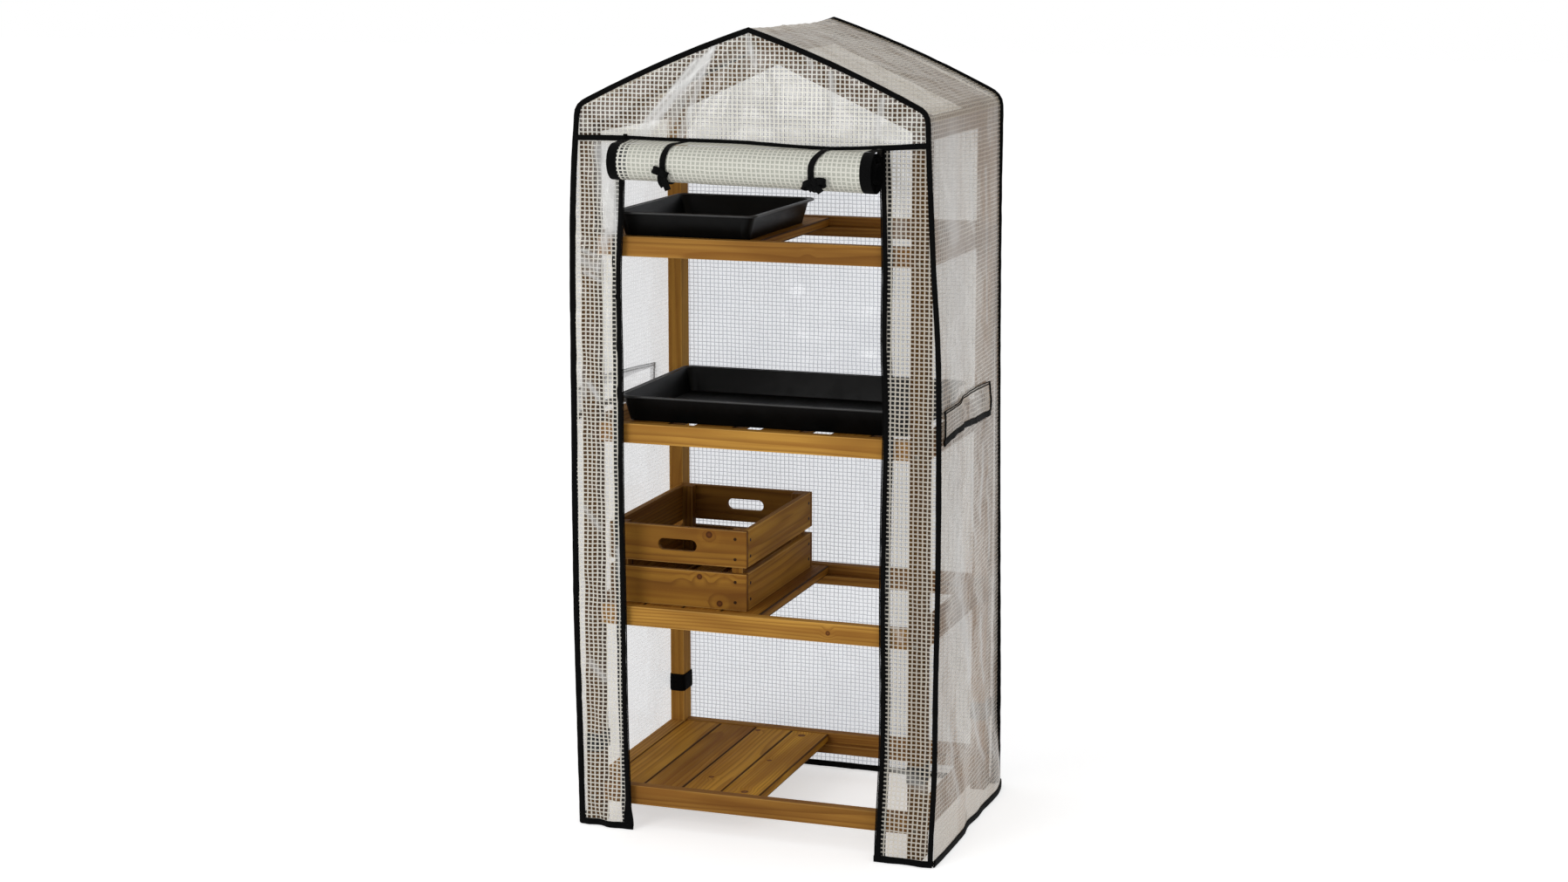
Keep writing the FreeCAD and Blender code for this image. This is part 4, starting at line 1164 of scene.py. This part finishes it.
back_hem_x = np.linspace(-HALF_WIDE - rear_out(0.0, LEFT), HALF_WIDE + rear_out(0.0, RIGHT), 60)
back_hem_line = stacked(back_hem_x, REAR + 0.0006, 0.0068)
back_hem = add_band("back_hem", back_hem_line, UP, oval(0.0125, 0.0050), tape, 0.05, 6)
strip_hems = joined("strip_hems", [strip_hem(LEFT), strip_hem(RIGHT)])
side_hems = joined("side_hem_bands", [side_hem(LEFT), side_hem(RIGHT)])
settle(front_edge, "frame", "black_tape", "front_binding")
settle(back_edge, "frame", "black_tape", "back_binding")
settle(side_hems, "frame", "black_tape", "side_hems")
for piece in (header, strip_hems, back_hem):
    settle(piece, "frame", "black_tape")


# Zips


TOOTH_SIDES = 6


def zip_line(side, shift, forward):
    """A line down the door's edge, shifted away from the door and forward of the sheet."""
    height = np.linspace(0.008, 1.349, 190)
    x = side * (door_edge(height, side) + shift)
    return stacked(x, strip_face(x, height, side) - forward, height)


def zip_tape(side):
    """The half zip left on the cover: a tape folded to the front, its wide part behind, and teeth."""
    edge = zip_line(side, 0.0, 0.0008)
    # The fold opens at its foot, most on the left
    foot = 1 + (1.20 if side == LEFT else 0.15) * (1 - fade(0.01, 0.072, edge[:, 2]))
    folded = add_band("zip_fold", edge, ACROSS, oval(0.0096, 0.0036), tape, 0.04, 7, grow=foot)
    behind_line = zip_line(side, 0.0085, -0.0011)
    behind = add_band("zip_back", behind_line, ACROSS, oval(0.0115, 0.0009), tape, 0.02, 8)
    line = respaced(zip_line(side, -0.0062, 0.0008), 0.0011)
    teeth = add_band("zip_teeth", line, ACROSS, oval(0.0024, 0.0026, TOOTH_SIDES, 1.0), tape)
    points = np.array([vert.co for vert in teeth.data.vertices]).reshape(-1, TOOTH_SIDES, 3)
    swell = np.where(np.arange(len(points)) % 2 == 0, 1.25, 0.70)[:, None, None]
    points = line[:, None, :] + (points - line[:, None, :]) * swell
    teeth.data.vertices.foreach_set("co", points.ravel())
    teeth.data.update()
    return [folded, behind, teeth]


# The small bump where the left zip runs into the header
zip_end = [(-0.246, FRONT - 0.0030, z) for z in (1.352, 1.356, 1.3605, 1.3635)]
zip_bump = add_band("zip_end", zip_end, ACROSS, oval(0.0075, 0.0050), tape)
zips = joined("zip_halves", zip_tape(LEFT) + zip_tape(RIGHT) + [zip_bump])
settle(zips, "frame", "black_tape", "zip_tapes")


# Rolled-up door

ROLL_LEFT = -0.2530
ROLL_WIDE = 0.5155
ROLL_Y = MIDDLE - 0.3005
ROLL_RADIUS = 0.0366
ROLL_PITCH = 0.0033
ROLL_TURNS = 9
# How wide the tape is at the roll's ends, and how far past the left one its back shows through
ROLL_TAPE_LEFT, ROLL_TAPE_RIGHT = 0.0195, 0.0215
SHOWN_TAPE, FAINT_TAPE = 0.0118, 0.0209
DOOR_LOOKS = [rolled_film, tape, rolled_film_on_tape, rolled_film_near_tape]


def roll_share(x):
    """0 at the roll's left end, 1 at its right end."""
    return (np.asarray(x) - ROLL_LEFT) / ROLL_WIDE


def roll_size(x):
    """The roll is wound a little looser towards its right end: its radius there, over the mean one."""
    return 0.945 + 0.10 * roll_share(x)


def roll_middle(x):
    """Height of the roll's middle line."""
    return 1.3155 - 0.0075 * roll_share(x)


def door_looks(u, _):
    """Which material a place on the door has: 0 sheet, 1 tape, 2 and 3 sheet over the tape's back."""
    if u < ROLL_TAPE_LEFT or u > ROLL_WIDE - ROLL_TAPE_RIGHT:
        return 1
    from_tape = u - ROLL_TAPE_LEFT
    return 2 if from_tape < SHOWN_TAPE else 3 if from_tape < FAINT_TAPE else 0


def door_grid(rows):
    """Grids of the places in rows and across the door, with a column at every change of material."""
    inner_left = ROLL_TAPE_LEFT + FAINT_TAPE
    inner_right = ROLL_WIDE - ROLL_TAPE_RIGHT
    across = np.unique(np.round(np.concatenate([
        np.linspace(0, ROLL_TAPE_LEFT, 4), [ROLL_TAPE_LEFT + SHOWN_TAPE],
        np.linspace(inner_left, inner_right, 58), np.linspace(inner_right, ROLL_WIDE, 4),
    ]), 6))
    return crossed(rows, across)


def door_roll():
    """The door sheet in one unbroken spiral, its ends a little telescoped and bound in tape."""
    turn = np.arange(ROLL_TURNS * 40 + 1) / 40
    wound, u = door_grid(turn)
    angle = wound * math.tau
    x = ROLL_LEFT + u
    outer = 1 - fade(0.0, 3.0, wound)
    radius = (ROLL_RADIUS - ROLL_PITCH * wound) * roll_size(x)
    radius = radius + 0.0006 * uneven(u, angle * 0.02, 91, 0.05, 0.3) * (0.3 + 0.7 * outer)
    from_end = np.clip(np.minimum(u, ROLL_WIDE - u) / 0.03, 0, 1)
    radius = radius + 0.0008 * (1 - from_end)
    drift = 0.0020 * np.sin(angle * 0.37 + 0.6) + 0.0006 * wound * np.sin(1.3 * wound)
    drift = drift * fade(0.1, 0.9, wound)
    y = ROLL_Y - radius * np.sin(angle)
    z = roll_middle(x) + radius * np.cos(angle)
    step = np.diff(turn) * math.tau * (ROLL_RADIUS - ROLL_PITCH * turn[1:])
    length = np.concatenate([[0], np.cumsum(step)])
    flat = stacked(u, length[:, None])
    places = stacked(x + drift, y, z)
    return add_sheet("door_rolled_up", places, flat, DOOR_LOOKS, looks=door_looks)


def door_neck():
    """The strip of the door between the header seam and the roll."""
    t, u = door_grid(np.linspace(0, 1, 14))
    x = ROLL_LEFT + u
    start_y, start_z = FRONT - 0.0012, header_height(x) - 0.0015
    end_z = roll_middle(x) + ROLL_RADIUS * roll_size(x) + 0.0004
    y = start_y + t * (ROLL_Y - start_y)
    z = start_z + (end_z - start_z) * fade(0, 1, t)
    flat = stacked(u, t * 0.05)
    places = stacked(x, y, z)
    return add_sheet("door_neck", places, flat, DOOR_LOOKS, looks=door_looks)


roll = door_roll()
neck = door_neck()
settle(roll, "door_roll", "cover_sheet", "door_roll")
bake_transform(neck)


def roll_surface(x, degrees, lift):
    """A point on the roll's outside, by the angle from its top towards the front."""
    reach = ROLL_RADIUS * float(roll_size(x)) + lift
    angle = math.radians(degrees)
    return (x, ROLL_Y - reach * math.sin(angle), float(roll_middle(x)) + reach * math.cos(angle))


def tie(name, x_header, x_top, x_front, x_knot, knot_at, loops):
    """A ribbon from the header, once round the roll, knotted low at the front. Its places across are
    at the header, on the roll's top, at its front and at the knot, which is knot_at degrees round."""
    start_z = float(header_height(x_header))
    over = [
        (x_header, FRONT - 0.0030, start_z - 0.001),
        ((x_header + x_top) / 2, FRONT - 0.022, start_z - 0.0015),
    ]
    for degrees in range(0, 348, 12):
        lean = float(fade(0, 80, degrees))
        over.append(roll_surface(x_top + (x_front - x_top) * lean, degrees, 0.0018))
    pieces = [add_band(name, smooth_line(over, 0.004), ACROSS, oval(0.0116, 0.0014), ribbon, 0.06, 9)]
    knot = np.array(roll_surface(x_knot, knot_at, 0.0050))
    wrap = knot + (
        (-0.0075, 0.0035, 0.0045), (-0.0025, -0.0030, 0.0025), (0.0030, -0.0030, -0.0015),
        (0.0080, 0.0035, -0.0045),
    )
    wrap_line = smooth_line(wrap, 0.0015)
    pieces.append(add_band(name, wrap_line, (0.35, 0, 1), oval(0.0120, 0.0040), ribbon, 0.06, 10))
    for seed, (line, across) in enumerate(loops, 11):
        path = smooth_line(knot + line, 0.0015)
        pieces.append(add_band(name, path, across, oval(0.0120, 0.0014), ribbon, 0.10, seed))
    return joined(name, pieces)


# The loops and ends of each knot: points from the knot, and the way the ribbon's width lies
LEFT_LOOPS = (
    (((0.001, 0.0, 0.0), (-0.008, -0.0040, 0.005), (-0.015, -0.0050, 0.0075), (-0.0185, -0.0025, 0.007),
      (-0.015, 0.0005, 0.004), (-0.007, 0.0015, 0.001), (0.0, 0.001, -0.001)), (0.35, 0.1, 1)),
    (((0.0, -0.001, 0.0), (0.003, -0.0035, -0.010), (0.007, -0.0030, -0.020), (0.011, -0.0010, -0.031)),
     (1, 0.1, 0.30)),
    (((0.0, 0.0, 0.001), (-0.003, -0.0025, -0.007), (-0.002, -0.0020, -0.016), (0.003, -0.0005, -0.024)),
     (1, 0.4, 0.1)),
)
RIGHT_LOOPS = (
    (((0.0, 0.0, 0.001), (0.009, -0.0045, 0.003), (0.017, -0.0055, 0.003), (0.0215, -0.0025, 0.000),
      (0.017, 0.0010, -0.004), (0.008, 0.0015, -0.004), (0.0, 0.001, -0.002)), (-0.25, 0.1, 1)),
    (((0.0, 0.0, 0.0), (-0.008, -0.0045, 0.000), (-0.017, -0.0050, -0.003), (-0.0225, -0.0020, -0.007),
      (-0.018, 0.0015, -0.010), (-0.008, 0.0015, -0.006), (0.0, 0.001, -0.003)), (0.35, 0.1, 1)),
    (((0.001, -0.001, -0.002), (0.004, -0.0040, -0.007), (0.009, -0.0040, -0.012), (0.013, -0.0020, -0.018)),
     (1, 0.1, 0.5)),
    (((-0.001, -0.001, -0.002), (-0.005, -0.0035, -0.008), (-0.011, -0.0030, -0.014)), (1, 0.1, -0.5)),
)
tie_left = tie("tie_left", -0.122, -0.1335, -0.1395, -0.1385, 110, LEFT_LOOPS)
tie_right = tie("tie_right", 0.170, 0.1660, 0.1495, 0.1570, 114, RIGHT_LOOPS)
for piece in (tie_left, tie_right):
    settle(piece, "door_roll", "black_tape", "door_ties")


# Vent flaps


FLAP_FRONT, FLAP_TOP = MIDDLE - 0.238, 0.8665
FLAP_LONG, FLAP_TALL = 0.397, 0.058
FLAP_LIMIT = 0.3785
# How far the flap's top and foot lie off the level, along it
FLAP_TOP_LINE = (
    (0.0, 0.0), (0.25, 0.0005), (0.34, 0.0008), (0.39, 0.0040), (0.45, 0.0035), (1.0, -0.0075),
)
FLAP_FOOT_LINE = (
    (0.0, -0.0020), (0.10, 0.0030), (0.38, 0.0065), (0.62, -0.0020), (0.90, -0.0105), (1.0, -0.0110),
)


def vent_flap(name, side, film):
    """A flap that lies over its slot: bound down both ends and along its foot, stitched along the top."""
    d, q = crossed(np.linspace(0, 1, 14), np.linspace(0, 1, 60))
    y = FLAP_FRONT + q * FLAP_LONG
    z = FLAP_TOP - d * FLAP_TALL + through(FLAP_TOP_LINE, q) * (1 - d) + through(FLAP_FOOT_LINE, q) * d
    bulge = 0.0020 * np.sin(math.pi * np.clip(d * 0.9, 0, 1)) + 0.0022 * d * uneven(y, z, 106, 0.04, 0.15)
    x = side * np.minimum(side_face(y, z, side) + 0.0026 + bulge, FLAP_LIMIT)
    places = stacked(x, y, z)
    flat = stacked(q * FLAP_LONG, 1 - d * FLAP_TALL)
    sheet = add_sheet(name + "_sheet", places, flat, film)
    proud = places + (side * 0.0008, 0, 0)
    foot = respaced(proud[-1], 0.005)
    lines = [add_band(name, foot, UP, oval(0.0122, 0.0040), tape, 0.1, 20)]
    for end in (0, -1):
        line = respaced(proud[:, end], 0.005)
        lines.append(add_band(name, line, DEPTHWISE, oval(0.0062, 0.0030), tape, 0.06, 21))
    for row in (0, 1):
        line = respaced(proud[row], 0.006)
        lines.append(add_band(name, line, UP, oval(0.0020, 0.0016), tape))
    return sheet, joined(name + "_trim", lines)


for flap_side, flap_body, film in (
    (RIGHT, "vent_flap_right", side_film), (LEFT, "vent_flap_left", bright_film),
):
    sheet, trim = vent_flap(flap_body, flap_side, film)
    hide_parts(flap_body)
    for piece in (sheet, trim):
        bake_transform(piece)


# Straps round the posts


POST_X, POST_Y = 0.329, 0.228
POST_WIDE, POST_DEEP = 0.030, 0.042
STRAP_HEIGHT, STRAP_PROUD = 0.168, 0.0016


def post_strap(x_side, y_side):
    """A hook-and-loop strap round a post, its end lapped over itself."""
    turns = np.linspace(0, 1.12, 70) * math.tau
    ring = squared(turns, POST_WIDE / 2 + STRAP_PROUD, POST_DEEP / 2 + STRAP_PROUD, 0.25)
    lap = 1 + 0.09 * fade(math.tau * 0.97, math.tau * 1.04, turns)
    x = x_side * POST_X + ring[:, 0] * lap
    y = MIDDLE + y_side * POST_Y + ring[:, 1] * lap
    z = STRAP_HEIGHT + 0.0012 * np.sin(turns)
    path = stacked(x, y, z)
    return add_band("strap", respaced(path, 0.004), UP, oval(0.036, 0.0016), hook_strap, 0.02, 30)


straps = joined("post_strap_bands", [post_strap(x, y) for x in (LEFT, RIGHT) for y in (-1, 1)])
settle(straps, "frame", "black_strap", "post_straps")


# Trays


# The radius of a tray's corners at the rim
TRAY_CORNER = 0.018


def add_tray(node):
    """A tray again, with its edges eased and a rolled lip round its rim."""
    bm = eased_copy(node, 0.0007)
    mesh = bpy.data.meshes.new(node + "_moulding")
    bm.to_mesh(mesh)
    bm.free()
    mesh.materials.append(tray_plastic)
    mesh.set_sharp_from_angle(angle=math.radians(40))
    body = add_object(node + "_moulding", mesh)
    points = np.array([vert.co for vert in frame["nodes"][node].data.vertices])
    top = points[:, 2].max()
    highest = points[points[:, 2] > top - 1e-4][:, :2]
    middle = (highest.min(axis=0) + highest.max(axis=0)) / 2
    corner = (highest.max(axis=0) - highest.min(axis=0)) / 2 - TRAY_CORNER
    turns = np.linspace(0, math.tau, 65)[:-1]
    ways = circle(turns)
    outline = middle + np.sign(ways) * corner + ways * (TRAY_CORNER - 0.0011)
    outline = np.concatenate([outline, outline[:1]])
    path = respaced(stacked(*outline.T, top - 0.0012), 0.008)
    # The lip's lighter finish is a painted highlight along the rim
    lip = add_band(node + "_lip", path, UP, oval(0.0050, 0.0036, 10, 0.9), tray_rim_highlight)
    lip.data.set_sharp_from_angle(angle=math.radians(60))
    settle(body, node, "tray_plastic", node)
    settle(lip, node, "tray_plastic")


add_tray("tray_small")
add_tray("tray_large")


# Nodes kept from CAD, with finishes


def dress(node, material):
    """Gives a CAD node a finish of its own."""
    obj = frame["nodes"][node]
    if not obj.material_slots:
        obj.data.materials.append(material)
    for slot in obj.material_slots:
        slot.link = "OBJECT"
        slot.material = material


dress("frame_screws", steel)
dress("crate_screws", dark_brown_steel)
dress("zip_slider_left", black_metal)
dress("zip_slider_right", black_metal)


# Floor, world, lamps and camera


# How strong the even light is; a strength of 1 is white to the eye
STUDIO_LEVEL = 0.56


def seen_directly(graph):
    """1 for what is seen directly, in a mirror or through glass, 0 for what only lights the object."""
    path = graph.node("LightPath").outputs
    seen = graph.greater(path["Is Camera Ray"], path["Is Glossy Ray"])
    return graph.greater(seen, path["Is Transmission Ray"])


def make_floor():
    """A pale floor that keeps a soft shadow and meets the white surround without an edge."""
    graph = new_graph("floor")
    matt = graph.node("BsdfDiffuse", {"Color": (0.84, 0.84, 0.84, 1.0)}).outputs[0]
    glow = graph.node("Emission", {"Strength": graph.times(seen_directly(graph), STUDIO_LEVEL)}).outputs[0]
    both = graph.node("AddShader", {0: matt, 1: glow})
    reach = 30.0
    points = [(-reach, -reach, 0), (reach, -reach, 0), (reach, reach, 0), (-reach, reach, 0)]
    floor = add_mesh("floor", points, [(0, 1, 2, 3)], graph.finish(both.outputs[0]))


def make_world():
    """Even studio light, with a white surround."""
    graph = Graph(bpy.data.worlds.new("studio"))
    level = graph.node("MapRange", {
        "Value": seen_directly(graph), "To Min": STUDIO_LEVEL, "To Max": 1.0,
    }).outputs[0]
    surround = graph.node("Background", {"Color": (1, 1, 1, 1), "Strength": level}).outputs[0]
    bpy.context.scene.world = graph.finish(surround, "OutputWorld")


def point_at(obj, place, forward):
    """Puts a lamp or camera in its place, looking forward."""
    obj.location = place
    obj.rotation_mode = "QUATERNION"
    obj.rotation_quaternion = forward.to_track_quat("-Z", "Y")


def add_lamp(name, place, target, wide, high, power):
    """A soft rectangular lamp that points at a target."""
    lamp = bpy.data.lights.new(name, "AREA")
    lamp.shape = "RECTANGLE"
    lamp.size, lamp.size_y = wide, high
    lamp.energy = power
    point_at(add_object(name, lamp), place, Vector(target) - Vector(place))


def add_camera():
    """The photograph's camera, fitted to its edges."""
    yaw, pitch = math.radians(19.0434), math.radians(9.6547)
    camera = bpy.data.cameras.new("camera")
    camera.sensor_width = 36.0
    camera.lens = 63.146
    camera.shift_y = -0.03615
    camera.clip_end = 100.0
    forward = Vector((-math.sin(yaw) * math.cos(pitch), math.cos(yaw) * math.cos(pitch), -math.sin(pitch)))
    obj = add_object("camera", camera)
    point_at(obj, (1.7258, -5.0081, 1.767), forward)
    bpy.context.scene.camera = obj


make_floor()
make_world()
add_lamp("key", (-1.6, -4.4, 2.2), (0.0, 0.0, 0.85), 2.2, 2.2, 66)
add_lamp("fill", (2.6, -3.2, 1.2), (0.0, 0.0, 0.8), 1.6, 2.4, 8)
add_camera()
bpy.context.scene.view_settings.view_transform = "Standard"
